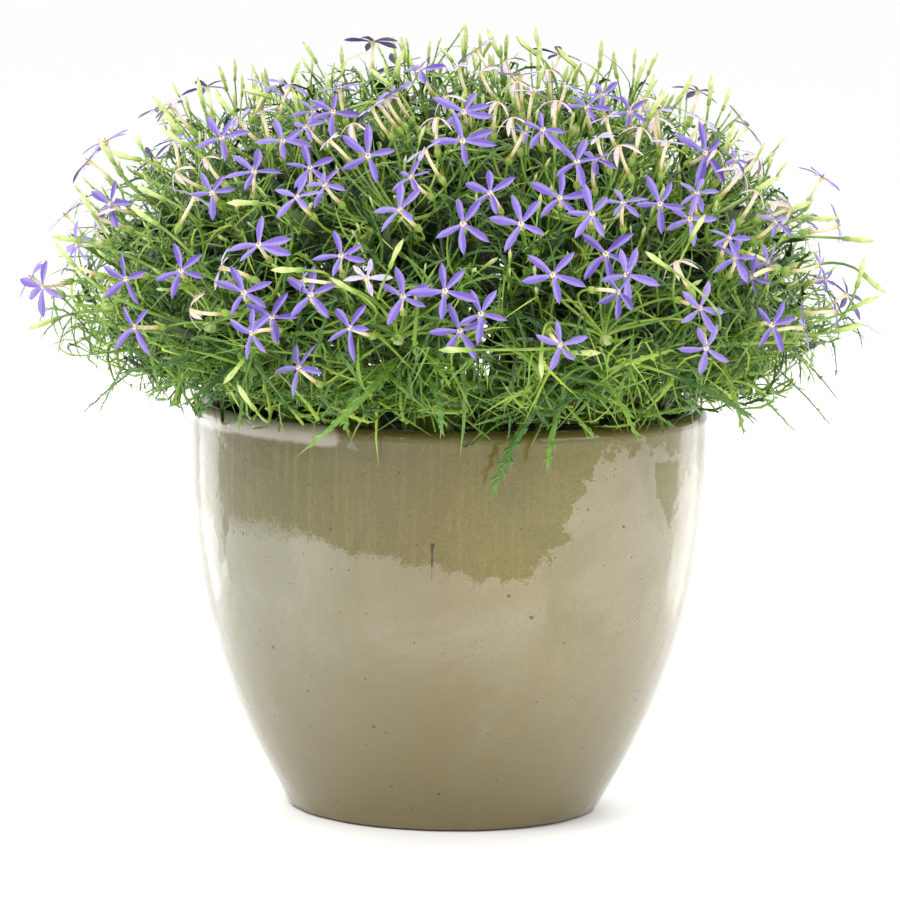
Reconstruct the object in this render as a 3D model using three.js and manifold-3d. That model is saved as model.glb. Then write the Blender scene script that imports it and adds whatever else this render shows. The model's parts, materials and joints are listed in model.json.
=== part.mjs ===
// Potted laurentia: a round glazed planter filled with compost, and in it a mound of soft shoots with finely
// cut leaves, pale green buds and violet star blooms on long tubes.
// Millimetres. The origin is the middle of the pot's foot; X runs to the right, Y to the back and Z up.
import * as THREE from 'three';
import { mergeVertices } from 'three/addons/utils/BufferGeometryUtils.js';
import Module from 'manifold-3d';

const wasm = await Module();
wasm.setup();

// Pot
const POT_HEIGHT = 236;
const FOOT_RADIUS = 88;
const BODY_RADIUS = 149.5;
const SWELL_HEIGHT = 210; // the belly swells up to here, and above it the wall stands upright
const SWELL_CURVE = 2.3;
const WALL = 12;
const FLOOR = 12;
const FOOT_EDGE = 2;
const ROUND_STEPS = 38;

// Compost
const COMPOST_TOP = 218;
const STEM_RADIUS = 3;
const STEM_DEPTH = 30;
const HOLE_SIDES = 6;

// Mound of the plant: an oval dome above its widest height and a shallower bowl below it
const MOUND_RADIUS = 250;
const MOUND_MIDDLE = 303;
const MOUND_RISE = 148;
const MOUND_DROP = 84;
const CROWN_RADIUS = 118; // where the outermost stems leave the compost, for a shoot that hangs
const CROWN_POLAR = 120;

// Shoots, in rings from the top of the dome down: angle from upright, number, turn of the first one
const SHOOT_RINGS = [
  { polar: 0, count: 1, turn: 0 },
  { polar: 27, count: 6, turn: 20 },
  { polar: 58, count: 10, turn: 8 },
  { polar: 95, count: 11, turn: 0 },
];
const SHOOT_SIDES = 5;
const CORE_START = 0.3; // along the shoot
const CORE_WIDEST = 0.64;
const CORE_END = 0.8;
const CORE_RADIUS = 44;
const SEAT_RADIUS = 4;
const BEAD_HEIGHT = 9; // the spray's foot, a small bead that its stalks start from
const BEAD_RADIUS = 6.5;
const BEAD_SIDES = 5;
const LEAVES_PER_SHOOT = 4;
const LEAF_LENGTH = 70;
const LEAF_THICKNESS = 1.6;

// Blooms and buds
const PETALS = 5;
const PETAL_THICKNESS = 1.8;
const TUBE_LENGTH = 22;
const TUBE_RADIUS = 1.7;
const TUBE_SIDES = 3;
const STALK_RADIUS = 1.1;
const BUD_LENGTH = 17;
const BUD_RADIUS = 3.2;
const BACK_BLOOMS = 44; // spread over the whole dome; only those at the back and the sides are used

// Gap that resting pieces keep, and the room that leaves and blooms keep from their neighbours
const GAP = 0.3;
const ROOM = 1.2;

// The eye that the picture was taken from, in millimetres, and its picture in pixels
const EYE = new THREE.Vector3(0, -3000, 583);
const EYE_AIM = new THREE.Vector3(0.5, 0, 207);
const EYE_ROLL = THREE.MathUtils.degToRad(1.09);
const FOCAL_PIXELS = 5210;
const PICTURE_MIDDLE_X = 450;
const PICTURE_MIDDLE_Y = 451;

// The blooms that the picture shows. Each row holds, in pixels, x and y of the throat and x and y of one
// petal tip; then the way the tube runs back, in degrees anticlockwise from the right; how many degrees the
// star is turned away from the eye; and the star's radius in pixels.
const SEEN_BLOOMS = [
  [88, 161, 110, 145, -42, 85, 27],
  [110, 204, 120, 182, -22, 45, 28],
  [77, 245, 76, 220, 5, 60, 27],
  [43, 287, 43, 260, 12, 50, 30],
  [68, 263, 66, 245, -22, 80, 18],
  [126, 279, 119, 252, 8, 35, 31],
  [181, 271, 179, 243, -60, 15, 29],
  [135, 327, 121, 308, 0, 50, 32],
  [160, 107, 135, 102, -60, 85, 28],
  [172, 106, 183, 88, -50, 85, 28],
  [175, 140, 155, 140, -80, 80, 24],
  [222, 138, 204, 118, -65, 30, 29],
  [254, 172, 264, 146, -90, 40, 31],
  [212, 193, 213, 220, -60, 15, 27],
  [195, 197, 175, 182, -118, 85, 26],
  [268, 87, 246, 72, -115, 80, 26],
  [291, 86, 275, 73, -110, 85, 26],
  [340, 88, 315, 67, -80, 75, 27],
  [333, 112, 335, 92, -90, 20, 28],
  [313, 112, 300, 95, -90, 40, 24],
  [283, 141, 273, 117, -90, 30, 29],
  [306, 127, 287, 122, -45, 50, 22],
  [310, 168, 302, 143, -90, 35, 29],
  [325, 185, 322, 170, -50, 45, 26],
  [297, 197, 276, 190, -50, 45, 28],
  [368, 156, 369, 122, -80, 8, 34],
  [259, 245, 260, 213, -55, 30, 33],
  [341, 256, 338, 231, -85, 30, 30],
  [367, 278, 374, 258, -80, 20, 25],
  [244, 293, 234, 263, -60, 15, 32],
  [311, 295, 285, 277, -60, 20, 31],
  [272, 318, 285, 288, -80, 40, 32],
  [252, 333, 268, 312, 5, 45, 31],
  [350, 328, 336, 304, -20, 40, 32],
  [299, 368, 293, 343, -38, 45, 31],
  [221, 268, 232, 250, -20, 80, 24],
  [190, 310, 190, 292, -5, 85, 22],
  [420, 70, 406, 60, -60, 65, 26],
  [476, 50, 465, 40, -57, 85, 26],
  [520, 75, 505, 70, -88, 85, 25],
  [378, 103, 360, 112, -52, 85, 32],
  [395, 92, 385, 75, -60, 70, 24],
  [464, 112, 432, 97, -80, 20, 31],
  [463, 141, 453, 111, -80, 15, 32],
  [411, 177, 391, 168, -45, 50, 24],
  [400, 210, 403, 183, -45, 45, 30],
  [463, 224, 457, 197, -80, 10, 32],
  [490, 193, 463, 182, -60, 35, 30],
  [521, 224, 516, 193, -80, 8, 33],
  [524, 133, 512, 118, -118, 60, 20],
  [543, 130, 539, 115, -90, 30, 27],
  [560, 198, 529, 182, -90, 15, 31],
  [577, 162, 545, 135, -90, 40, 34],
  [595, 160, 619, 148, -90, 60, 26],
  [592, 214, 583, 182, -90, 20, 32],
  [587, 107, 575, 97, -80, 45, 26],
  [603, 95, 590, 80, -90, 50, 24],
  [630, 112, 620, 95, -90, 30, 20],
  [623, 203, 640, 198, -90, 45, 25],
  [660, 204, 647, 175, -90, 8, 31],
  [690, 219, 695, 193, -90, 10, 29],
  [697, 193, 705, 170, -90, 40, 25],
  [705, 153, 670, 133, -148, 35, 35],
  [656, 110, 640, 100, -85, 85, 24],
  [747, 127, 714, 119, -135, 85, 30],
  [735, 160, 722, 150, -130, 60, 20],
  [757, 157, 745, 145, -135, 85, 22],
  [775, 222, 766, 202, -140, 50, 24],
  [838, 226, 827, 207, 190, 85, 24],
  [820, 265, 808, 245, 190, 75, 24],
  [826, 280, 820, 268, 190, 30, 14],
  [735, 258, 716, 243, -110, 30, 27],
  [729, 238, 715, 228, -110, 40, 24],
  [752, 277, 757, 257, 20, 50, 24],
  [768, 262, 778, 245, 160, 50, 22],
  [772, 325, 787, 302, 180, 20, 29],
  [803, 328, 811, 308, 188, 85, 28],
  [836, 312, 845, 298, 185, 75, 20],
  [403, 297, 401, 264, -90, 25, 32],
  [445, 291, 440, 262, -90, 8, 33],
  [481, 314, 470, 289, -90, 12, 31],
  [460, 331, 449, 303, -90, 10, 31],
  [553, 275, 527, 255, -85, 15, 33],
  [560, 345, 558, 321, 130, 30, 29],
  [606, 254, 582, 232, -90, 10, 34],
  [627, 275, 619, 248, -90, 8, 34],
  [618, 292, 600, 305, 175, 45, 28],
  [700, 308, 681, 294, 160, 40, 30],
  [706, 348, 698, 326, 100, 30, 29],
];

// The buds that stand clear in the picture: x and y of the tip in pixels, and the way the stalk runs back
const SEEN_BUDS = [
  [30, 328, 20],
  [52, 236, -10],
  [56, 243, -50],
  [81, 192, -60],
  [99, 139, -58],
  [112, 152, -15],
  [138, 186, -25],
  [133, 207, -35],
  [153, 97, -45],
  [164, 111, -50],
  [163, 129, -35],
  [198, 78, -78],
  [216, 94, -48],
  [243, 90, -15],
  [370, 68, -40],
  [404, 50, -110],
  [488, 30, -65],
  [517, 37, -40],
  [541, 43, -95],
  [558, 48, -45],
  [646, 60, -110],
  [654, 75, -110],
  [692, 76, -120],
  [711, 76, -95],
  [664, 93, -120],
  [734, 126, -110],
  [779, 178, -150],
  [811, 202, -155],
  [837, 218, 180],
  [873, 241, 175],
  [864, 259, -105],
  [885, 292, 140],
  [878, 297, -155],
  [862, 324, -165],
  [228, 203, 0],
  [272, 270, 0],
  [331, 278, -30],
  [238, 385, -55],
  [224, 383, 50],
  [403, 240, -115],
  [440, 350, 0],
  [542, 378, 90],
  [600, 353, 180],
  [646, 252, -35],
  [617, 310, -50],
  [705, 215, -120],
];

// The leaves that hang out at the rim in the picture: x and y in pixels where the blade starts and at its tip
const SEEN_LEAVES = [
  [385, 385, 295, 458],
  [512, 425, 490, 503],
  [548, 425, 547, 475],
  [700, 375, 763, 425],
  [190, 365, 112, 374],
  [200, 375, 140, 398],
  [225, 385, 176, 408],
  [760, 395, 799, 436],
  [735, 385, 745, 440],
  [450, 395, 440, 440],
  [620, 395, 640, 443],
  [330, 395, 350, 440],
];

const UP = new THREE.Vector3(0, 0, 1);
const DEGREE = Math.PI / 180;

// A fixed run of numbers between 0 and 1 that only looks random
function runOfChance(seed) {
  let state = seed;
  return () => {
    state = (Math.imul(state, 1664525) + 1013904223) >>> 0;
    return state / 4294967296;
  };
}

// A closed mesh from its corner points and the triangles between them
function meshOf(points, triangles) {
  const geometry = new THREE.BufferGeometry();
  const places = points.flatMap((p) => [p.x, p.y, p.z]);
  geometry.setAttribute('position', new THREE.Float32BufferAttribute(places, 3));
  geometry.setIndex(triangles.flat());
  return geometry;
}

// The solid that can be joined to others or cut
function solidOf(geometry) {
  const plain = geometry.clone();
  plain.deleteAttribute('normal');
  plain.deleteAttribute('uv');
  const merged = mergeVertices(plain, 1e-4);
  return new wasm.Manifold(new wasm.Mesh({
    numProp: 3,
    vertProperties: new Float32Array(merged.attributes.position.array),
    triVerts: new Uint32Array(merged.index.array),
  }));
}

// The skin with the most triangles. The scraps and sealed hollows that joining can leave are dropped.
function mainSkin(triangles, corners) {
  const lead = Array.from({ length: corners }, (_, i) => i);
  const leadOf = (corner) => {
    let at = corner;
    while (lead[at] !== at) at = lead[at];
    return at;
  };
  for (const [a, b, c] of triangles) {
    lead[leadOf(b)] = leadOf(a);
    lead[leadOf(c)] = leadOf(a);
  }
  const skins = new Map();
  for (const triangle of triangles) {
    const key = leadOf(triangle[0]);
    skins.set(key, [...(skins.get(key) ?? []), triangle]);
  }
  return [...skins.values()].reduce((most, skin) => (skin.length > most.length ? skin : most));
}

function geometryOf(solid) {
  const mesh = solid.getMesh();
  const triangles = Array.from({ length: mesh.triVerts.length / 3 }, (_, i) => (
    [...mesh.triVerts.subarray(3 * i, 3 * i + 3)]));
  const skin = mainSkin(triangles, mesh.vertProperties.length / 3).flat();
  const places = skin.flatMap((corner) => [...mesh.vertProperties.subarray(3 * corner, 3 * corner + 3)]);
  const geometry = new THREE.BufferGeometry();
  geometry.setAttribute('position', new THREE.Float32BufferAttribute(places, 3));
  const whole = mergeVertices(geometry, 1e-5);
  whole.computeVertexNormals();
  return whole;
}

function fused(geometries) {
  return geometries.map(solidOf).reduce((whole, next) => whole.add(next));
}

// The skin of a rod through the given points, with a radius at each; a radius of 0 ends it in a point.
// Sideways is the way that the first corner of the first ring lies, and the other rings follow it without
// a twist.
function rodSkin(points, radii, sides, sideways, openEnd = false) {
  const corners = [];
  const ways = points.map((point, i) => new THREE.Vector3().subVectors(
    points[Math.min(i + 1, points.length - 1)],
    points[Math.max(i - 1, 0)],
  ).normalize());
  const across = sideways.clone().addScaledVector(ways[0], -sideways.dot(ways[0])).normalize();
  const rings = points.map((point, i) => {
    if (i > 0) across.applyQuaternion(new THREE.Quaternion().setFromUnitVectors(ways[i - 1], ways[i]));
    const third = new THREE.Vector3().crossVectors(ways[i], across);
    return Array.from({ length: radii[i] > 0 ? sides : 1 }, (_, k) => {
      const turn = (k / sides) * 2 * Math.PI;
      const corner = point.clone().addScaledVector(across, radii[i] * Math.cos(turn));
      return corners.push(corner.addScaledVector(third, radii[i] * Math.sin(turn))) - 1;
    });
  });
  const triangles = [];
  for (let i = 0; i + 1 < rings.length; i += 1) {
    const [low, high] = [rings[i], rings[i + 1]];
    for (let k = 0; k < sides; k += 1) {
      const next = (k + 1) % sides;
      if (low.length > 1) triangles.push([low[k], low[next], high[k % high.length]]);
      if (high.length > 1) triangles.push([low[next % low.length], high[next], high[k]]);
    }
  }
  const first = rings[0];
  const last = rings[rings.length - 1];
  for (let k = 1; k + 1 < sides; k += 1) {
    if (first.length > 1) triangles.push([first[0], first[k + 1], first[k]]);
    if (last.length > 1 && !openEnd) triangles.push([last[0], last[k], last[k + 1]]);
  }
  return { corners, triangles, last };
}

function rod(points, radii, sides, sideways) {
  const { corners, triangles } = rodSkin(points, radii, sides, sideways);
  return meshOf(corners, triangles);
}

// Balls that fill a thin piece, for telling whether it would meet another one
const ball = (at, radius) => ({ at, radius });

function ballsAlong(from, to, radius, step) {
  const count = Math.max(2, Math.ceil(from.distanceTo(to) / step) + 1);
  return Array.from({ length: count }, (_, i) => (
    ball(new THREE.Vector3().lerpVectors(from, to, i / (count - 1)), radius)));
}

// A piece that has been placed: the node that it belongs to and its balls, with a ball around them all
function placed(owner, balls) {
  const box = new THREE.Box3().setFromPoints(balls.map((b) => b.at));
  const middle = box.getCenter(new THREE.Vector3());
  const span = Math.max(...balls.map((b) => b.at.distanceTo(middle) + b.radius));
  return { owner, balls, middle, span };
}

function meets(one, other) {
  if (one.middle.distanceTo(other.middle) > one.span + other.span + ROOM) return false;
  return one.balls.some((a) => other.balls.some((b) => (
    a.at.distanceTo(b.at) < a.radius + b.radius + ROOM)));
}

const isFree = (piece, others) => !others.some((other) => other.owner !== piece.owner && meets(piece, other));

// Sight line of a picture point, and the ways that run to the right and up in the picture
const forward = new THREE.Vector3().subVectors(EYE_AIM, EYE).normalize();
const levelRight = new THREE.Vector3().crossVectors(forward, UP).normalize();
const levelUp = new THREE.Vector3().crossVectors(levelRight, forward);
const pictureRight = levelRight.clone().multiplyScalar(Math.cos(EYE_ROLL));
pictureRight.addScaledVector(levelUp, Math.sin(EYE_ROLL));
const pictureUp = levelUp.clone().multiplyScalar(Math.cos(EYE_ROLL));
pictureUp.addScaledVector(levelRight, -Math.sin(EYE_ROLL));

function sightLine(x, y) {
  const along = forward.clone();
  along.addScaledVector(pictureRight, (x - PICTURE_MIDDLE_X) / FOCAL_PIXELS);
  along.addScaledVector(pictureUp, (PICTURE_MIDDLE_Y - y) / FOCAL_PIXELS);
  return new THREE.Ray(EYE, along.normalize());
}

// The way that lies at an angle in the picture, anticlockwise from the right
function pictureWay(angle) {
  const way = pictureRight.clone().multiplyScalar(Math.cos(angle));
  return way.addScaledVector(pictureUp, Math.sin(angle));
}

// How far out a point lies in the mound: 1 on its surface and less inside
function reach(point) {
  const half = point.z > MOUND_MIDDLE ? MOUND_RISE : MOUND_DROP;
  return Math.hypot(point.x / MOUND_RADIUS, point.y / MOUND_RADIUS, (point.z - MOUND_MIDDLE) / half);
}

// Where a sight line first comes as far into the mound as the share, or else comes nearest to it
function onMound(x, y, share) {
  const line = sightLine(x, y);
  let nearest = line.at(EYE.length(), new THREE.Vector3());
  for (let far = EYE.length() - 330; far < EYE.length() + 330; far += 2) {
    const point = line.at(far, new THREE.Vector3());
    if (reach(point) < share) return point;
    if (reach(point) < reach(nearest)) nearest = point;
  }
  return nearest;
}

function moundPoint(polar, azimuth, share) {
  const half = polar < Math.PI / 2 ? MOUND_RISE : MOUND_DROP;
  const out = MOUND_RADIUS * share * Math.sin(polar);
  const height = MOUND_MIDDLE + half * share * Math.cos(polar);
  return new THREE.Vector3(out * Math.cos(azimuth), out * Math.sin(azimuth), height);
}

function moundOutward(point) {
  const half = point.z > MOUND_MIDDLE ? MOUND_RISE : MOUND_DROP;
  return new THREE.Vector3(
    point.x / MOUND_RADIUS ** 2,
    point.y / MOUND_RADIUS ** 2,
    (point.z - MOUND_MIDDLE) / half ** 2,
  ).normalize();
}

// Pot: one wall of even thickness, turned on a wheel, with a rounded lip and a flat foot

function outerRadius(z) {
  const left = Math.max(0, 1 - z / SWELL_HEIGHT);
  return FOOT_RADIUS + (BODY_RADIUS - FOOT_RADIUS) * (1 - left ** SWELL_CURVE);
}

const OUTER_HEIGHTS = [9, 30, 60, 100, 150, SWELL_HEIGHT];
const INNER_HEIGHTS = [COMPOST_TOP, 150, 90, 40];

function potShape() {
  const lip = WALL / 2;
  const floorRadius = outerRadius(FLOOR) - WALL - 4;
  const profile = [
    new THREE.Vector2(0, 0),
    new THREE.Vector2(FOOT_RADIUS - FOOT_EDGE, 0),
    new THREE.Vector2(outerRadius(FOOT_EDGE), FOOT_EDGE),
    ...OUTER_HEIGHTS.map((z) => new THREE.Vector2(outerRadius(z), z)),
  ];
  for (let i = 0; i <= 4; i += 1) {
    const turn = (i / 4) * Math.PI;
    const out = BODY_RADIUS - lip + lip * Math.cos(turn);
    profile.push(new THREE.Vector2(out, POT_HEIGHT - lip + lip * Math.sin(turn)));
  }
  INNER_HEIGHTS.forEach((z) => profile.push(new THREE.Vector2(outerRadius(z) - WALL, z)));
  profile.push(new THREE.Vector2(floorRadius, FLOOR));
  profile.push(new THREE.Vector2(0, FLOOR));
  return new THREE.LatheGeometry(profile, ROUND_STEPS).rotateX(Math.PI / 2);
}

// Compost: fills the pot to a level below its lip, with a plain hole for each stem

function compostShape(stems) {
  const floorRadius = outerRadius(FLOOR) - WALL - 4;
  const inner = [...INNER_HEIGHTS].reverse();
  const wallAt = (z) => new THREE.Vector2(outerRadius(z) - WALL - GAP, z);
  const profile = [
    new THREE.Vector2(0, FLOOR + GAP),
    new THREE.Vector2(floorRadius - GAP, FLOOR + GAP),
    ...inner.map(wallAt),
    new THREE.Vector2(0, COMPOST_TOP),
  ];
  const body = new THREE.LatheGeometry(profile, ROUND_STEPS).rotateX(Math.PI / 2);
  const holeRadius = (STEM_RADIUS + GAP) / Math.cos(Math.PI / HOLE_SIDES);
  return stems.reduce((solid, foot) => {
    const hole = new THREE.CylinderGeometry(holeRadius, holeRadius, STEM_DEPTH * 2, HOLE_SIDES);
    hole.rotateX(Math.PI / 2).translate(foot.x, foot.y, COMPOST_TOP);
    return solid.subtract(solidOf(hole));
  }, solidOf(body));
}

// Shoots: each rises out of the compost and bends outward to its own place on the mound

function shootAt(polar, azimuth, number) {
  const foot = new THREE.Vector3(Math.cos(azimuth), Math.sin(azimuth), 0);
  foot.multiplyScalar((CROWN_RADIUS * polar) / (CROWN_POLAR * DEGREE)).setZ(COMPOST_TOP);
  const tip = moundPoint(polar, azimuth, 1);
  const bend = foot.clone().lerp(tip, 0.1).setZ(MOUND_MIDDLE - 7 + 40 * Math.cos(polar));
  const line = new THREE.QuadraticBezierCurve3(foot, bend, tip);
  const sideways = new THREE.Vector3(-Math.sin(azimuth), Math.cos(azimuth), 0);
  const end = line.getPoint(CORE_END);
  const seat = end.clone().addScaledVector(line.getTangent(CORE_END), GAP);
  const bead = seat.clone().addScaledVector(line.getTangent(CORE_END), BEAD_HEIGHT / 2);
  return { number, foot, line, sideways, seat, bead, leaves: [], buds: [], blooms: [] };
}

const shoots = SHOOT_RINGS.flatMap(({ polar, count, turn }) => (
  Array.from({ length: count }, (_, i) => [polar, turn + (i * 360) / count])));
const SHOOTS = shoots.map(([polar, azimuth], i) => shootAt(polar * DEGREE, azimuth * DEGREE, i));

// Half the way to the nearest other shoot, at the same share of its length
function roomAround(shoot, share) {
  const here = shoot.line.getPoint(share);
  const gaps = SHOOTS.filter((other) => other !== shoot).map((other) => (
    Math.min(...[-0.1, -0.05, 0, 0.05, 0.1].map((more) => (
      other.line.getPoint(share + more).distanceTo(here))))));
  return Math.min(...gaps) / 2;
}

// The leafy core of a shoot: its levels along the shoot and the radius at each
function coreLevels(shoot) {
  const shares = [CORE_START, CORE_WIDEST, 0.73, CORE_END];
  const widths = [0.45, 1, 0.7, 0];
  return shares.map((share, i) => {
    const middle = shoot.line.getPoint(share);
    const overCompost = middle.z - COMPOST_TOP - 4;
    const lip = WALL / 2;
    const fromAxis = Math.hypot(middle.x, middle.y);
    const overLip = Math.hypot(fromAxis - BODY_RADIUS + lip, middle.z - POT_HEIGHT + lip);
    const most = Math.min(CORE_RADIUS, roomAround(shoot, share) - 2, overCompost, overLip - lip - 3);
    return { share, radius: Math.max(SEAT_RADIUS, most * widths[i]) };
  });
}

// Slices of a core, close enough together to tell whether a point lies in it
const CORE_SLICES = 30;

function coreSlices(shoot) {
  return Array.from({ length: CORE_SLICES + 1 }, (_, i) => {
    const share = THREE.MathUtils.lerp(CORE_START, CORE_END, i / CORE_SLICES);
    const next = Math.max(1, shoot.levels.findIndex((level) => level.share >= share - 1e-9));
    const [low, high] = [shoot.levels[next - 1], shoot.levels[next]];
    const part = (share - low.share) / (high.share - low.share);
    const radius = THREE.MathUtils.lerp(low.radius, high.radius, part);
    return { share, middle: shoot.line.getPoint(share), radius };
  });
}

// The nearest slice tells how far inside the core a ball is
function isInCore(shoot, { at, radius }) {
  const near = shoot.slices.reduce((best, slice) => (
    slice.middle.distanceToSquared(at) < best.middle.distanceToSquared(at) ? slice : best));
  return near.middle.distanceTo(at) < near.radius + radius + ROOM;
}

// True if none of a piece's balls comes near a core. The balls at its own foot are let off.
function clearsCores(piece, foot, skipped) {
  return SHOOTS.filter((shoot) => shoot !== skipped).every((shoot) => {
    const near = piece.middle.distanceTo(shoot.line.getPoint(CORE_WIDEST));
    if (near > piece.span + CORE_RADIUS * 2) return true;
    return piece.balls.every(({ at, radius }) => (
      at.distanceTo(foot) < BEAD_HEIGHT || !isInCore(shoot, { at, radius })));
  });
}

function coreShape(shoot) {
  const { levels } = shoot;
  const below = shoot.foot.clone().setZ(COMPOST_TOP - STEM_DEPTH + GAP);
  const above = shoot.foot.clone().setZ(COMPOST_TOP + STEM_RADIUS);
  const points = [below, above, ...levels.map((level) => shoot.line.getPoint(level.share))];
  const radii = [STEM_RADIUS, STEM_RADIUS, ...levels.map((level) => level.radius)];
  return rod(points, radii, SHOOT_SIDES, shoot.sideways);
}

SHOOTS.forEach((shoot) => {
  shoot.levels = coreLevels(shoot);
  shoot.slices = coreSlices(shoot);
});

// Blooms: a five-petalled star on a long thin tube, and a stalk from the tube to the spray's foot

// Where a petal is widest, as shares of the star's radius: how far out, and how far to the side
const PETAL_WIDE_OUT = 0.4;
const PETAL_WIDE_SIDE = 0.175;

// Outline corners of the star, petal by petal
function starOutline(bloom) {
  const across = new THREE.Vector3().crossVectors(bloom.facing, bloom.petal);
  const corner = (out, side, turn) => {
    const along = bloom.petal.clone().multiplyScalar(Math.cos(turn)).addScaledVector(across, Math.sin(turn));
    const aside = across.clone().multiplyScalar(Math.cos(turn)).addScaledVector(bloom.petal, -Math.sin(turn));
    return bloom.throat.clone().addScaledVector(along, out * bloom.radius)
      .addScaledVector(aside, side * bloom.radius);
  };
  return Array.from({ length: PETALS }, (_, k) => (k / PETALS) * 2 * Math.PI).flatMap((turn) => [
    corner(PETAL_WIDE_OUT, -PETAL_WIDE_SIDE, turn),
    corner(1, 0, turn),
    corner(PETAL_WIDE_OUT, PETAL_WIDE_SIDE, turn),
  ]);
}

// The whole bloom in one skin: stalk and tube, the star's back that spreads from the tube, and its front
function bloomShape(bloom, bead) {
  const neck = bloom.throat.clone().addScaledVector(bloom.facing, -PETAL_THICKNESS);
  const tubeEnd = bloom.throat.clone().addScaledVector(bloom.facing, -TUBE_LENGTH);
  const root = bead.clone().lerp(tubeEnd, (0.55 * BEAD_RADIUS) / bead.distanceTo(tubeEnd));
  const radii = [STALK_RADIUS, STALK_RADIUS + 0.3, TUBE_RADIUS];
  const anySide = Math.abs(bloom.facing.z) > 0.9 ? new THREE.Vector3(1, 0, 0) : UP;
  const { corners, triangles, last } = rodSkin([root, tubeEnd, neck], radii, TUBE_SIDES, anySide, true);
  const outline = starOutline(bloom);
  const front = corners.push(bloom.throat.clone().addScaledVector(bloom.facing, PETAL_THICKNESS / 2)) - 1;
  const edge = outline.map((corner) => corners.push(corner) - 1);
  const nearest = outline.map((corner) => last.reduce((best, k) => (
    corners[k].distanceTo(corner) < corners[best].distanceTo(corner) ? k : best)));
  edge.forEach((here, i) => {
    const next = (i + 1) % edge.length;
    triangles.push([front, here, edge[next]], [nearest[i], edge[next], here]);
    if (nearest[i] !== nearest[next]) triangles.push([nearest[i], nearest[next], edge[next]]);
  });
  return meshOf(corners, triangles);
}

function starBalls(bloom) {
  const across = new THREE.Vector3().crossVectors(bloom.facing, bloom.petal);
  const balls = [ball(bloom.throat, 3)];
  for (let k = 0; k < PETALS; k += 1) {
    const turn = (k / PETALS) * 2 * Math.PI;
    const along = bloom.petal.clone().multiplyScalar(Math.cos(turn)).addScaledVector(across, Math.sin(turn));
    balls.push(ball(bloom.throat.clone().addScaledVector(along, 0.32 * bloom.radius), 2.6));
    balls.push(ball(bloom.throat.clone().addScaledVector(along, 0.56 * bloom.radius), 3));
    balls.push(ball(bloom.throat.clone().addScaledVector(along, 0.82 * bloom.radius), 1.8));
  }
  return balls;
}

function bloomBalls(bloom, bead) {
  const tubeEnd = bloom.throat.clone().addScaledVector(bloom.facing, -TUBE_LENGTH);
  const tube = [...ballsAlong(bloom.throat, tubeEnd, 2, 4), ...ballsAlong(tubeEnd, bead, 1.5, 3)];
  return [...starBalls(bloom), ...tube];
}

function starsMeet(one, other) {
  if (one.throat.distanceTo(other.throat) > one.radius + other.radius) return false;
  return starBalls(one).some((a) => starBalls(other).some((b) => (
    a.at.distanceTo(b.at) < a.radius + b.radius)));
}

// A bloom from the picture: its star faces the eye, turned away from it by the tilt
function seenBloom([x, y, tipX, tipY, tubeAngle, tilt, size]) {
  const throat = onMound(x, y, 0.97);
  const toEye = EYE.clone().sub(throat).normalize();
  const tubeWay = pictureWay(tubeAngle * DEGREE);
  const facing = toEye.clone().multiplyScalar(Math.cos(tilt * DEGREE));
  facing.addScaledVector(tubeWay, -Math.sin(tilt * DEGREE)).normalize();
  const petal = pictureWay(Math.atan2(y - tipY, tipX - x));
  petal.addScaledVector(toEye, -petal.dot(facing) / Math.max(toEye.dot(facing), 0.15));
  petal.addScaledVector(facing, -petal.dot(facing)).normalize();
  const radius = (size * throat.distanceTo(EYE)) / FOCAL_PIXELS;
  return { throat, facing, petal, radius };
}

// A bloom that the picture doesn't show, by the golden angle over the dome
function backBloom(number, chance) {
  const polar = Math.acos(1 - (1.12 * (number + 0.5)) / BACK_BLOOMS);
  const throat = moundPoint(polar, number * 137.508 * DEGREE, 0.97);
  const facing = moundOutward(throat).addScaledVector(UP, 0.3 + 0.5 * chance());
  facing.add(new THREE.Vector3(chance() - 0.5, chance() - 0.5, 0).multiplyScalar(0.7)).normalize();
  const petal = new THREE.Vector3().crossVectors(facing, new THREE.Vector3(1, 0.3, 0)).normalize();
  return { throat, facing, petal, radius: 15.5 + 3 * chance() };
}

// Each bloom joins the spray of a near shoot. Where its star would meet another spray it slides along the
// sight line, and where that doesn't help it joins the spray of the bloom that it meets.
const SLIDES = [0, -6, 6, -12, 12, -18, 18, -24, 24, -30];

function placeBloom(bloom, pieces) {
  const farness = (shoot) => shoot.seat.distanceTo(bloom.throat) + 4 * shoot.blooms.length;
  const nearFirst = [...SHOOTS].sort((a, b) => farness(a) - farness(b)).slice(0, 4);
  const way = new THREE.Vector3().subVectors(bloom.throat, EYE).normalize();
  for (const mayTouch of [false, true]) {
    for (const slide of SLIDES) {
      for (const shoot of nearFirst) {
        const moved = { ...bloom, throat: bloom.throat.clone().addScaledVector(way, slide) };
        const piece = placed(`spray${shoot.number}`, bloomBalls(moved, shoot.bead));
        const apart = mayTouch || shoot.blooms.every((other) => !starsMeet(moved, other));
        if (apart && clearsCores(piece, shoot.bead) && isFree(piece, pieces)) {
          pieces.push(piece);
          shoot.blooms.push(moved);
          return true;
        }
      }
    }
  }
  return false;
}

// Leaves: a thin blade that is thickest at the midrib, cut into pointed lobes

// One side of the blade, as shares of its length: how far along, and how far to the side
const LEAF_SIDE = [
  { along: 0.2, side: 0.022 },
  { along: 0.5, side: 0.19 },
  { along: 0.47, side: 0.045 },
  { along: 0.8, side: 0.17 },
  { along: 0.74, side: 0.035 },
];
const LEAF_RIDGES = [0.28, 0.54];

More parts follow.
